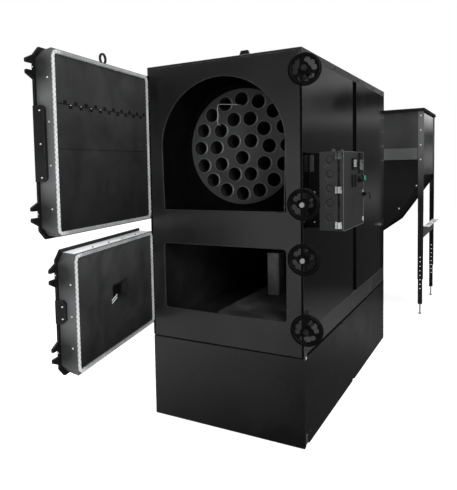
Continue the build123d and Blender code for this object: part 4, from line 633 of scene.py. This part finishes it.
# %% [markdown]
# Bare metal is of three kinds: bright zinc on screws and bolts, primed grey steel on the tube sheet, and the tubes,
# whose rims are bright while their bores are black with soot. The tube finish reads how deep a point lies and turns
# from steel to soot within the first centimetre.

# %% Metal finishes
def brushed(tree, x, y, z):
    """The brushed grain at three scales, one for each axis."""
    return use_effect(tree, "brushed_grain", Along__X=x, Along__Y=y, Along__Z=z)


def bright_metal(name, tone, gloss, dull):
    """Plated steel with fine drawn lines: the grain moves the tone, the roughness and a slight bump."""
    finish, tree, shader = new_finish(name, metallic=1.0)
    grain = brushed(tree, 900.0, 900.0, 40.0)
    colour = blend_colour(tree, grain["Tone"], grey(tone * 0.82), grey(tone))
    dress(tree, shader, colour, spread(tree, grain["Tone"], gloss, dull), grain["Height"], 0.25, 0.0001)
    return finish


bolt_bright = bright_metal("bolt_bright", 0.42, 0.22, 0.38)
bolt_dark = bright_metal("bolt_dark", 0.045, 0.35, 0.5)
sheet_grey = paint("sheet_grey", 0.036, 0.058, 0.45, 0.6, specular=0.25, dents=4.0, dust_and_top_light=0.2)

# Zinc-plated heads are a pale matt metal that stays light in a dark hall.
zinc, tree, shader = new_finish("screw_zinc", specular=0.7)
grain = brushed(tree, 700.0, 700.0, 700.0)
plated = blend_colour(tree, grain["Tone"], grey(0.36), grey(0.54))
dress(tree, shader, plated, spread(tree, grain["Tone"], 0.28, 0.45))

tube_bore, tree, shader = new_finish("tube_bore", specular=0.4)
grain = brushed(tree, 300.0, 20.0, 300.0)
deep = stretch(tree, part_of(tree, object_place(tree), "Y"), -0.7785, -0.772)
rim = blend_colour(tree, grain["Tone"], grey(0.05), grey(0.11))
dress(tree, shader, blend_colour(tree, deep, rim, grey(0.009)), spread(tree, deep, 0.32, 0.9))
print("metals made")

# %% [markdown]
# Handwheels, instrument plastics and the hopper have their own finishes. The wheels are moulded black plastic with a
# soft gloss. The hopper is thinner painted sheet, and its legs are angle bars painted darker towards the floor as
# shade.

# %% Plastics and hopper paints
def moulded(name, colour, gloss, dull, coat=0.0, specular=0.5):
    """Moulded plastic: a faint cloud in the tone and the roughness, and a very fine grain in the bump."""
    finish, tree, shader = new_finish(name, specular, coat=coat)
    shader.inputs["Coat Roughness"].default_value = 0.08
    skin = use_effect(tree, "paint_skin", Peel__Scale=1800.0, Dents=0.0, Haze__Scale=30.0)
    lighter = tuple(min(1.0, c * 1.3 + 0.001) for c in colour[:3]) + (1.0,)
    colour = blend_colour(tree, skin["Haze"], colour, lighter)
    dress(tree, shader, colour, spread(tree, skin["Haze"], gloss, dull), skin["Height"], 0.2, 0.00005)
    return finish


wheel_black = moulded("wheel_black", grey(0.002), 0.34, 0.44, specular=0.04)
instrument_black = moulded("instrument_black", grey(0.003), 0.35, 0.5, specular=0.15)
display_pale = moulded("display_pale", grey(0.20), 0.12, 0.2, coat=0.2)
meter_grey = moulded("meter_grey", grey(0.08), 0.2, 0.3, coat=0.2)
button_green = moulded("button_green", (0.012, 0.17, 0.075, 1.0), 0.25, 0.35)
# The hinges' pale plastic is painted darker towards the top: painted shade.
pale_plastic = paint("pale_plastic", 0.30, 0.42, 0.4, 0.55, dents=0.0, dust_and_top_light=0.0, rub_and_edge_light=0.0, painted_shade=(1.24, 1.56, 0.93))
bin_sheet = paint("bin_sheet", 0.024, 0.038, 0.10, 0.15, specular=0.4, dents=60.0, bump=0.00002, peel=80.0)
rail_sheet = paint("rail_sheet", 0.058, 0.080, 0.38, 0.5, specular=0.2, dents=10.0)
funnel_black = paint("funnel_black", 0.004, 0.008, 0.5, 0.65, specular=0.08, dents=16.0, rub_and_edge_light=0.2)
# The legs are painted darker towards the floor: painted shade.
leg_blue = paint("leg_blue", 0.075, 0.100, 0.36, 0.48, specular=0.08, dents=5.0, rub_and_edge_light=0.4, painted_shade=(1.72, 1.15, 0.97))
# The ties' up-facing tops are painted near white: a painted highlight.
tie_sheet = paint("tie_sheet", 0.060, 0.085, 0.36, 0.5, specular=0.35, dents=6.0, dust_and_top_light=2.0, dust_and_top_light_tone=0.8)
print("finishes", len(bpy.data.materials))

# %% Finishes on the solids
dressed = [
    (front_satin, "front_plate"), (plinth_gloss, "plinth_front plinth_sides plinth_rear"), (roof_gloss, "top_panel"),
    (side_gloss, "front_side_panels rear_side_panels rear_panel"), (band_painted_reflection, "side_bands"),
    (channel_black, "joint_channels base_frame box_bracket"), (chamber_soot, "smoke_chamber boiler_drum"),
    (sheet_grey, "tube_sheet"), (tube_bore, "fire_tubes"), (furnace_soot, "furnace_box"), (hearth_cast, "hearth"),
    (refractory_block, "refractory_blocks"), (bracket_black, "hinge_brackets clamp_brackets lifting_lugs"),
    (bracket_black, "flue_box flue_outlet water_nozzles feed_housing feed_drive"), (box_coat, "box_body box_lid"),
    (instrument_black, "lid_controls"), (bin_sheet, "hopper_bin"), (funnel_black, "hopper_lid hopper_funnel"),
    (rail_sheet, "hopper_rails"), (leg_blue, "hopper_legs leg_slides"), (bolt_bright, "hopper_feet"),
    (tie_sheet, "hopper_ties"),
]
for door in door_open:
    dressed += [(door_band(door), f"{door}_box"), (door_plate_black, f"{door}_plate")]
    dressed += [(linings[door], f"{door}_lining"), (edge_plate_black, f"{door}_fittings")]
dressed += [(bolt_dark, node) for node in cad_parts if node.endswith("_clamp_bolt")]
dressed += [(wheel_black, node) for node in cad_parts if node.endswith("_handwheel")]
for finish, names in dressed:
    for node in names.split():
        for material_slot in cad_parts[node].material_slots:
            material_slot.material = finish
print("solids finished", sum(len(names.split()) for _, names in dressed), "of", len(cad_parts))

# %% [markdown]
# The white rope round each door seals it against the front plate. It is square-braided from ceramic yarn. It could be
# modelled strand by strand, but at this size a relief is enough: a rounded-square section carried round the door, its
# radius swelling where either of two crossing spirals passes. The swelling is also kept as an attribute of the mesh,
# which the yarn reads to paint shade into the hollows, so it looks braided from any side.

# %% Rope yarn
# Fine fibres. The yarn is painted white along the doors' free edges, and partly near the hinges, as lit; elsewhere
# it is painted grey as shade.
rope_white, tree, shader = new_finish("rope_yarn", specular=0.1)
shader.inputs["Sheen Weight"].default_value = 0.2
fibre = use_effect(tree, "board_fibre", Scale=900.0, Cloud__Scale=7.0)
depth = part_of(tree, object_place(tree), "Y")
shaded_yarn = blend_colour(tree, fibre["Tone"], grey(0.17), grey(0.30))
lit_yarn = blend_colour(tree, fibre["Tone"], grey(0.42), grey(0.58))
hinge_lit_share = times(tree, stretch(tree, depth, -1.25, -1.16), 0.45)
lit_runs = math(tree, "MAXIMUM", stretch(tree, depth, -1.93, -1.985), hinge_lit_share)
strand = add_node(tree, "Attribute", attribute_name="strand").outputs["Fac"]
# The braid's hollows are painted darker: painted shade.
hollow_shade = times(tree, stretch(tree, strand, 0.75, 0.0), 0.3)
colour = blend_colour(tree, hollow_shade, blend_colour(tree, lit_runs, shaded_yarn, lit_yarn), grey(0.05))
dress(tree, shader, colour, spread(tree, fibre["Tone"], 0.8, 0.95), fibre["Height"], 0.6, 0.0006)
print("yarn nodes", len(tree.nodes))

# %% Braided rope seals
rope_half, seal_half, braid_pitch = 0.0085, 0.440, 0.022


def braided_rope(door):
    """Radius = half (0.87 + 0.13 of the higher of two crossing spirals cos(s + 2t), cos(s - 2t)); s runs along,
    t around."""
    low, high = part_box(f"{door}_seal")
    half_height = (high[2] - low[2]) / 2 - rope_half
    outline = rounded_outline(2 * (seal_half - rope_half), 2 * half_height, 0.025, 16)
    walked, length = walk(outline, 0.0032)
    path = door_point(door, door_middle + walked[:, 0], 0.001 + rope_half, (low[2] + high[2]) / 2 + walked[:, 1])
    s = np.linspace(0.0, 2 * np.pi * round(length / braid_pitch), len(path), endpoint=False)[:, None]
    t = np.linspace(0.0, 2 * np.pi, 16, endpoint=False)[None, :]
    strand = np.maximum(np.cos(s + 2 * t), np.cos(s - 2 * t))
    square = (np.abs(np.cos(t)) ** 5 + np.abs(np.sin(t)) ** 5) ** (-1 / 5)
    radius = rope_half * (0.87 + 0.13 * strand) * np.minimum(square, 1.12)
    section = np.stack([radius * np.cos(t), radius * np.sin(t)], -1)
    return carry(path, section, door_axes(door)[1], closed=True), strand


for door in door_open:
    rope_shape, strand = braided_rope(door)
    rope = add_piece(f"{door}_rope", rope_shape, rope_white, door, sharp_deg=80.0)
    raised = rope.data.attributes.new("strand", "FLOAT", "POINT")
    raised.data.foreach_set("value", strand.astype(np.float32).ravel())
    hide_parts(f"{door}_seal")

# %% [markdown]
# Screws and bolts hold everything together and catch the light as bright dots. A domed screw is a lathe profile. A
# hexagon bolt is the same with a six-sided radius, r / cos(angle to the nearest flat), cut by a round chamfer. Each is
# set at many points at once.

# %% Fastener shapes
def dome_screw(radius, height):
    """A washer, a low dome and a small drive recess, as shares of the radius and the height."""
    shares = [(0, 0), (1.3, 0), (1.3, 0.18), (1.02, 0.22), (1, 0.4), (0.86, 0.72)]
    shares += [(0.62, 0.93), (0.36, 1), (0.3, 0.72), (0, 0.66)]
    return lathe(np.array(shares) * (radius, height), 14)


def hexagon_bolt(across_flats, height):
    """A washer under a hexagon head; each ring's radius is the hexagon's, but never more than its own chamfer."""
    half = across_flats / 2
    angle = np.linspace(0.0, 2 * np.pi, 24, endpoint=False)
    hexagon = half / np.cos((angle + np.pi / 6) % (np.pi / 3) - np.pi / 6)
    rings = np.array([(0.0, 0.0), (1.35, 0.0), (1.35, 0.16), (9.0, 0.16), (9.0, 0.86), (1.0, 1.0), (0.0, 1.0)])
    limit = rings[:, :1] * half
    radius = np.where(limit > 2 * half, hexagon, np.minimum(limit, 1.35 * half))
    return turned(radius, rings[:, 1:] * height, 24)


print("fastener faces", len(dome_screw(0.008, 0.006)[1]), len(hexagon_bolt(0.02, 0.01)[1]))

# %% Door fasteners
edge_screw_heights = {"upper_door": (1.912, 1.719, 1.527, 1.334), "lower_door": (0.999, 0.855, 0.712)}
plate_bolt_heights = {"upper_door": (1.769, 1.622, 1.474), "lower_door": (0.903, 0.848)}
top_screw_places = (0.212, 0.380, 0.535, 0.700)
for door in door_open:
    forward = door_axes(door)[0]
    band_places = door_point(door, free_edge, 0.030, edge_screw_heights[door])
    band_screws = stand_on(dome_screw(0.0035, 0.004), band_places, forward)
    plate_places = door_point(door, plate_edge, 0.063, plate_bolt_heights[door])
    plate_bolts = stand_on(hexagon_bolt(0.0058, 0.0045), plate_places, forward)
    add_piece(f"{door}_screws", join(band_screws, plate_bolts), zinc, door)
    top_places = door_point(door, top_screw_places, 0.030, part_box(f"{door}_box")[1][2])
    top_screws = stand_on(dome_screw(0.0045, 0.004), top_places, UP, forward)
    add_piece(f"{door}_top_screws", top_screws, bracket_black, door)
    fork_places = door_point(door, fork_root, 0.096, fork_heights[door])
    fork_screws = stand_on(dome_screw(0.0026, 0.003), fork_places, forward)
    add_piece(f"{door}_fork_screws", fork_screws, zinc, door)

# %% [markdown]
# The upper lining is made of boards. Two meet at a third of its height, where dark tabs lock alternately into the
# upper and the lower board and bright staples pin them. A paint mask could draw this, but raised tabs also read in a
# raking view, so each tab is a thin eased block.

# %% Lining joint
tab_dark = board("tab_dark", 0.003, 0.006, specular=0.1)
inward = -door_axes("upper_door")[1]
lining_face = 0.0112
tab_up = door_point("upper_door", np.linspace(0.817, 0.071, 10), lining_face, 1.8135)
tab_down = door_point("upper_door", np.linspace(0.776, 0.112, 9), lining_face, 1.7925)
tabs = stand_on(pad(0.025, 0.014, 0.002, 0.003, 0.0012), np.concatenate([tab_up, tab_down]), inward)
seam_run = np.linspace(0.872, 0.060, 40)
seam_path = door_point("upper_door", seam_run, lining_face, 1.803)
seam = carry(seam_path, rounded_outline(0.005, 0.003, 0.001, 3), UP)
low_path = door_point("upper_door", seam_run, 0.0113, 1.601)
low_seam = carry(low_path, rounded_outline(0.003, 0.0016, 0.0006, 3), UP)
add_piece("lining_joint", join(tabs, seam, low_seam), tab_dark, "upper_door")
bend = np.linspace(0.0, np.pi, 9)
staple_path = np.stack([0.006 * np.cos(bend), 0 * bend, 0.003 * np.sin(bend) ** 0.5], -1)
staple = carry(staple_path, circle(0.0010, 6), BACK)
staple_places = door_point("upper_door", np.linspace(0.776, 0.527, 4), 0.0105, 1.801)
add_piece("lining_staples", stand_on(staple, staple_places, inward), zinc, "upper_door")

# %% Sight port
# A dark bent frame lines the lower door's sight port, with two bright tongues folded out at its lower corner.
outward = door_axes("lower_door")[1]
port_middle = 0.877
port_loop = loop(0.080, 0.043, 0.006, 0.006)
frame_path = door_point("lower_door", door_middle + port_loop[:, 0], 0.0105, port_middle + port_loop[:, 1])
port_frame = carry(frame_path, rounded_outline(0.008, 0.004, 0.0015, 3), outward, closed=True)
add_piece("port_frame", port_frame, edge_plate_black, "lower_door")
share = np.linspace(0.0, 1.0, 8)
tongue_depth = 0.0100 - 0.004 * np.sin(np.pi * share / 2)
slants = [door_point("lower_door", 0.558 - 0.050 * share, tongue_depth, z + 0.020 * share) for z in (0.832, 0.846)]
tongues = [carry(slant, rounded_outline(0.007, 0.002, 0.0008, 3), outward) for slant in slants]
add_piece("port_tongues", join(*tongues), zinc, "lower_door")
glass_place = door_point("lower_door", door_middle, 0.036, port_middle)
glass = stand_on(pad(0.12, 0.05, 0.004, 0.004, 0.001), glass_place, -outward)
add_piece("port_glass", glass, instrument_black, "lower_door")

# %% [markdown]
# Each tube is welded into the sheet by a ring of bead. A bead is a small torus whose section swells evenly round the
# ring, as the welder's ripples do. All 29 rings are one mesh, because they are one job of work on the real sheet.

# %% Tube weld beads
sheet_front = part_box("tube_sheet")[0][1]
sheet_middle = np.array([0.0, sheet_front, 1.622])
sheet_radius = 0.345
tube_rings = ((0.819, 16, -90.0), (0.5015, 10, 72.0), (0.1913, 3, 30.0))
tube_radii = np.concatenate([np.full(count, sheet_radius * share) for share, count, _ in tube_rings])
tube_angles = [np.radians(turn) + 2 * np.pi * np.arange(count) / count for _, count, turn in tube_rings]
tube_angles = np.concatenate(tube_angles)
tube_places = np.stack([tube_radii * np.cos(tube_angles), 0 * tube_angles, tube_radii * np.sin(tube_angles)], -1)
bead_radius, bead_steps, ripples = 0.0458, 48, 16
bead_path = lay(circle(bead_radius, bead_steps), (0.0, 0.0, 0.0), RIGHT, BACK)
ripple = 1 + 0.16 * np.cos(ripples * np.linspace(0.0, 2 * np.pi, bead_steps, endpoint=False))
bead = carry(bead_path, ripple[:, None, None] * circle(0.0030, 8), UP, closed=True)
weld_steel, tree, shader = new_finish("weld_steel", specular=0.3)
grain = brushed(tree, 400.0, 400.0, 400.0)
# The beads' faces turned to the right are painted pale: a painted glint.
facing = stretch(tree, part_of(tree, face_normal(tree), "X"), 0.45, 0.8)
painted_glint = times(tree, facing, stretch(tree, grain["Tone"], 0.2, 0.8))
dress(tree, shader, blend_colour(tree, painted_glint, grey(0.07), grey(0.9)), spread(tree, grain["Tone"], 0.35, 0.5))
add_piece("tube_beads", stand_on(bead, sheet_middle + tube_places, FRONT), weld_steel, "boiler")

# %% Temperature probe
# A bent probe wire stands off the sheet, crosses two tubes and hooks down; both ends go into the sheet.
probe_corners = [(0.003, 0.0, 1.868), (0.003, -0.045, 1.868), (-0.138, -0.045, 1.882)]
probe_corners += [(-0.138, -0.045, 1.758), (-0.138, 0.0, 1.758)]
probe_corners = np.array(probe_corners) + (0.0, sheet_front, 0.0)
step = np.linspace(0.0, 4.0, 60)
probe = np.stack([np.interp(step, range(5), probe_corners[:, k]) for k in range(3)], -1)
padded = np.concatenate([np.repeat(probe[:1], 2, 0), probe, np.repeat(probe[-1:], 2, 0)])
probe = np.stack([np.convolve(padded[:, k], np.ones(5) / 5, "valid") for k in range(3)], -1)
add_piece("probe_wire", carry(probe, circle(0.0016, 8), (0.35, 0.6, 0.72)), zinc, "boiler")

# %% [markdown]
# The front plate's two openings have a thin dressed lip where the plate was cut and welded to the chambers. A round
# section is carried round each opening's outline. It gives the fine light line along the sill and the arch.

# %% Opening lips
plate_front = -1.075
half_opening, sill, spring = 0.380, 1.258, 1.622
arc = np.linspace(0.0, np.pi, 48)
arch_x = np.concatenate([[-half_opening + 0.01, half_opening - 0.01], half_opening * np.cos(arc)])
arch_z = np.concatenate([[sill, sill], spring + half_opening * np.sin(arc)])
arch_path = lay(walk(np.stack([arch_x, arch_z], -1), 0.01204)[0], (0.0, plate_front, 0.0), RIGHT, UP)
low_path = lay(loop(half_opening, 0.196, 0.018, 0.012), (0.0, plate_front, 0.867), RIGHT, UP)
lips = [carry(path, circle(r, 8), BACK, closed=True) for path, r in ((arch_path, 0.0028), (low_path, 0.0024))]
lip_steel = paint("lip_steel", 0.014, 0.024, 0.3, 0.42, specular=0.4, dents=0.0, rub_and_edge_light=0.8)
add_piece("opening_lips", join(*lips), lip_steel, "boiler")

# %% [markdown]
# The clamps' wheels are moulded, so their rims are smooth, where the solids have a plain eight-sided one. A torus is
# laid over each rim: big radius times cos and sin of one angle, small radius times those of the other. The bolts get
# their thread the same way, as a cylinder whose radius rises and falls with height and turns with the angle.

# %% Clamp wheels and threads
pivot_x, pivot_y, wheel_reach = 0.500, -1.050, 0.176
clamp_turns = {
    "upper_door_lower_clamp": (1.312, 7.0, bolt_bright), "upper_door_upper_clamp": (1.960, 10.5, bolt_dark),
    "lower_door_lower_clamp": (0.690, 11.0, bolt_dark), "lower_door_upper_clamp": (1.041, 7.0, bolt_bright),
}


def thread(start, end, radius=0.0111, pitch=0.0035, depth=0.0011):
    """Radius = core + depth * (0.5 + 0.5 cos(2 pi z / pitch - angle)): a wave that climbs one pitch a turn."""
    z = np.linspace(start, end, int((end - start) / pitch * 7))[:, None]
    angle = np.linspace(0.0, 2 * np.pi, 20, endpoint=False)[None, :]
    wave = radius + depth * (0.5 + 0.5 * np.cos(2 * np.pi * z / pitch - angle))
    pole = 0 * wave[:1]
    return turned(np.concatenate([pole, wave, pole]), np.concatenate([[[start]], z, [[end]]]), 20)


rim_radius, rim_half = 0.069, 0.0112
rim_path = lay(circle(rim_radius, 72), (0.0, 0.0, 0.0), RIGHT, BACK)
rim = carry(rim_path, circle(rim_half, 18), UP, closed=True)
for clamp, (height, turn_deg, tip_finish) in clamp_turns.items():
    turn = np.radians(turn_deg)
    outward = np.array([np.sin(turn), -np.cos(turn), 0.0])
    pivot = np.array([pivot_x, pivot_y, height])
    centre = pivot + wheel_reach * outward
    add_piece(f"{clamp}_rim", stand_on(rim, centre, outward), wheel_black, f"{clamp}_handwheel")
    for part, (start, end), finish in (("thread", (0.030, 0.154), bolt_dark), ("tip", (0.205, 0.2165), tip_finish)):
        turned_part = stand_on(thread(start, end), pivot, outward)
        add_piece(f"{clamp}_{part}", turned_part, finish, f"{clamp}_bolt")

# %% [markdown]
# The control box is small but full of detail: pressed knock-outs on its edge, three pale hinges, instruments with
# windows, push buttons, a lock with its key, and clips. Most are eased blocks and lathe shapes, each set on the face
# that carries it. What is on the lid rides on the lid, so it swings with it.

# %% Box edge
box_front, box_seam, lid_face = -0.965, 0.625, 0.6475
box_low, box_high = 1.156, 1.569
lid_length, lid_height = 0.458, 0.413
seal_middle = (box_front, (box_low + box_high) / 2)
ring = lathe([(0.0152, 0.0), (0.0184, 0.0), (0.0184, 0.0006), (0.0168, 0.0009), (0.0152, 0.0006), (0.0152, 0.0)], 28)
disc = lathe([(0, 0), (0.0150, 0.0), (0.0146, 0.0005), (0, 0.0006)], 24)
knock_places = [(0.578, box_front, z) for z in (1.530, 1.455, 1.381, 1.305, 1.228)]
edge_screw = stand_on(dome_screw(0.005, 0.004), (0.548, box_front, 1.492), FRONT)
discs = join(stand_on(disc, knock_places, FRONT), edge_screw)
hinge_heights = (1.5463, 1.3708, 1.1870)
sleeve = lathe([(0.0069, 0), (0.0076, 0), (0.0076, 0.0165), (0.0069, 0.0165), (0.0069, 0)], 24)
leaves = []
for width, corner, x, rise in ((0.011, 0.003, 0.6115, -0.0168), (0.006, 0.0028, 0.6360, 0.0003)):
    leaf = pad(width, 0.036, 0.0085, corner, 0.0015)
    leaf_places = [(x, box_front, z) for z in hinge_heights]
    sleeve_places = [(box_seam, -0.972, z + rise) for z in hinge_heights]
    leaves.append(join(stand_on(leaf, leaf_places, FRONT), stand_on(sleeve, sleeve_places, UP)))
gland = lathe([(0, 0), (0.012, 0), (0.012, 0.004), (0.010, 0.005), (0.0105, 0.011), (0.008, 0.014), (0, 0.014)], 20)
gland_places = [(0.585, -0.925, box_high), (0.580, -0.735, box_high)]
bracket_strip = stand_on(pad(0.022, 0.088, 0.002, 0.006, 0.0008), (0.484, -0.9655, 1.512), FRONT)
body_seal = stand_on(pad(0.0062, 0.404, 0.0005, 0.001, 0.0002), (0.6216, *seal_middle), FRONT)
lid_seal = stand_on(pad(0.0040, 0.404, 0.0005, 0.001, 0.0002), (0.6278, *seal_middle), FRONT)
bracket_bolts = stand_on(dome_screw(0.0023, 0.003), [(0.497, box_front, 1.360), (0.497, box_front, 1.201)], FRONT)
for name, shape, finish, body, slot in (
    ("box_knock_outs", stand_on(ring, knock_places, FRONT), channel_black, "boiler", "box_paint"),
    ("box_knock_discs", discs, box_coat, "boiler", "box_paint"),
    ("box_hinge_leaves", leaves[0], pale_plastic, "boiler", "controls"),
    ("lid_hinge_leaves", leaves[1], pale_plastic, "box_lid", "controls"),
    ("bracket_strip", bracket_strip, box_coat, "boiler", "box_paint"),
    ("box_seal", body_seal, channel_black, "boiler", "box_paint"),
    ("lid_seal", lid_seal, channel_black, "box_lid", "box_paint"),
    ("bracket_bolts", bracket_bolts, zinc, "boiler", "bolt_steel"),
    ("box_glands", stand_on(gland, gland_places, UP), sheet_grey, "boiler", "controls"),
):
    add_piece(name, shape, finish, body)


# %% Lid instruments
# The key's bow is a ring, its blade a flat bar into the lock; a second key hangs from the ring.
def lid_place(share_y, share_z, proud=0.0):
    """A point on the lid's face from shares of its length and height, standing proud of it."""
    return np.array([lid_face + proud, box_front + lid_length * share_y, box_low + lid_height * share_z])


def on_lid(shape, *places):
    """A shape set on the lid's face at places given as (share_y, share_z, proud)."""
    return stand_on(shape, [lid_place(*place) for place in places], RIGHT)


bar = rounded_outline(0.003, 0.0012, 0.0004, 3)
needle = carry(line(lid_place(0.82, 0.80, 0.0088), (0.0, 0.022, 0.026), 6), bar, RIGHT)
marks = [(0.82 + shift, 0.875, 0.0086) for shift in (-0.06, -0.03, 0.0, 0.03, 0.06)]
scale_bars = on_lid(pad(0.003, 0.016, 0.0006, 0.001, 0.0002), *marks)
cap = lathe([(0, 0), (0.0152, 0), (0.0152, 0.003), (0.0140, 0.0048), (0.006, 0.0056), (0, 0.0058)], 24)
# Thin pale strips round the lid's face are a painted highlight along its edges.
edge_path = lay(loop(0.2285, 0.2060, 0.004, 0.012), (lid_face, -0.736, 1.3625), BACK, UP)
lid_edge_highlight = paint("lid_edge_highlight", 0.07, 0.13, 0.35, 0.5, dents=0.0, dust_and_top_light=0.6)
lock = lid_place(0.95, 0.42, 0.016)
blade = carry(line(lock, (0.016, 0.0, 0.0), 4), rounded_outline(0.008, 0.0024, 0.0008, 3), UP)
bow = carry(lay(circle(0.007, 24), lock + (0.022, 0.0, 0.0), RIGHT, UP), circle(0.0018, 8), BACK, closed=True)
hang_path = line(lock + (0.024, 0.0, -0.006), (0.002, 0.003, -0.024), 6)
hang = carry(hang_path, rounded_outline(0.007, 0.002, 0.0008, 3), BACK)
collar = lathe([(0, 0), (0.013, 0), (0.013, 0.0015), (0.009, 0.002), (0.009, 0.0012), (0, 0.0012)], 24)
clips = on_lid(pad(0.010, 0.024, 0.005, 0.003, 0.0015), (0.945, 0.446), (0.945, 0.073))
display_window = on_lid(pad(0.056, 0.040, 0.0015, 0.004, 0.0008), (0.48, 0.848, 0.008))
meter_window = on_lid(pad(0.078, 0.058, 0.0015, 0.003, 0.0008), (0.82, 0.825, 0.007))
for name, shape, finish, slot in (
    ("display_window", display_window, display_pale, "controls"),
    ("meter_window", meter_window, meter_grey, "controls"),
    ("meter_needle", join(needle, scale_bars), instrument_black, "controls"),
    ("stop_cap", on_lid(cap, (0.73, 0.63, 0.014)), instrument_black, "controls"),
    ("start_cap", on_lid(cap, (0.92, 0.64, 0.014)), button_green, "controls"),
    ("lid_edge_highlights", carry(edge_path, circle(0.0011, 6), RIGHT, closed=True), lid_edge_highlight, "box_paint"),
    ("lid_keys", join(blade, bow, hang), bolt_dark, "bolt_steel"),
    ("lid_clips", clips, pale_plastic, "controls"),
    ("lock_collar", on_lid(collar, (0.95, 0.42, 0.0160)), bolt_dark, "bolt_steel"),
):
    add_piece(name, shape, finish, "box_lid")

# %% [markdown]
# The casing's panels are screwed to a frame. A few screws show along the plinth and the roof, with a tab at the
# plinth's top corner. The hopper's legs are bolted through the bin's corner and its flanges along the slope.

# %% Casing screws
side = 0.470
screw_places = [(y, 0.478) for y in (-0.978, -0.307, 0.378, 0.95)] + [(-0.978, 0.06), (0.95, 0.06)]
screw_places += [(y, 2.078) for y in (-0.95, -0.45, 0.15, 0.65, 0.97)]
screw = dome_screw(0.006, 0.004)
both_sides = [stand_on(screw, [(s * side, y, z) for y, z in screw_places], (s, 0.0, 0.0)) for s in (1, -1)]
tab_plate = stand_on(pad(0.034, 0.050, 0.003, 0.006, 0.001), (side, -1.052, 0.500), RIGHT)
foot_plate = stand_on(pad(0.018, 0.050, 0.003, 0.004, 0.001), (side, -1.040, 0.045), RIGHT)
# A black strip fills the joint between plinth and casing, with taller ones along the sides: painted shadow of the
# joint's gap.
joint_path = lay(loop(0.4645, 1.0695, 0.003, 0.03), (0.0, 0.0, 0.490), RIGHT, BACK)
joint_shadow_loop = carry(joint_path, rounded_outline(0.008, 0.0076, 0.001, 3), UP, closed=True)
side_shadow_strip = pad(2.11, 0.018, 0.0012, 0.001, 0.0004)
side_shadow_strips = [stand_on(side_shadow_strip, (s * side, 0.016, 0.4955), (s, 0.0, 0.0)) for s in (1, -1)]
edge_strip = pad(0.0125, 1.560, 0.0012, 0.001, 0.0004)
corner_places = [(s * 0.4637, plate_front, 1.277) for s in (1, -1)]
tab_screw = stand_on(screw, (side + 0.003, -1.052, 0.488), RIGHT)
for name, shape, finish, slot in (
    ("casing_screws", join(*both_sides), bracket_black, "casing_paint"),
    ("plinth_tabs", join(tab_plate, foot_plate), sheet_grey, "bolt_steel"),
    ("tab_screw", tab_screw, zinc, "bolt_steel"),
    ("joint_shadow_strips", join(joint_shadow_loop, *side_shadow_strips), channel_black, "casing_paint"),
    ("corner_strips", stand_on(edge_strip, corner_places, FRONT), channel_black, "casing_paint"),
):
    add_piece(name, shape, finish, "boiler")

# %% Hopper bolts
leg_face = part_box("hopper_legs")[0][1]
leg_bolts = [(s * 0.642, leg_face, z) for s in (1, -1) for z in (1.955, 1.815, 1.672, 1.530)]
funnel_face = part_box("hopper_funnel")[0][1]
flange_bolts = [(s * x, funnel_face, z) for s in (1, -1) for x, z in ((0.606, 1.276), (0.446, 1.047))]
hopper_bolts = stand_on(hexagon_bolt(0.011, 0.007), leg_bolts + flange_bolts, FRONT)
add_piece("hopper_bolts", hopper_bolts, zinc, "boiler")
print("leg face at", round(float(leg_face), 4))
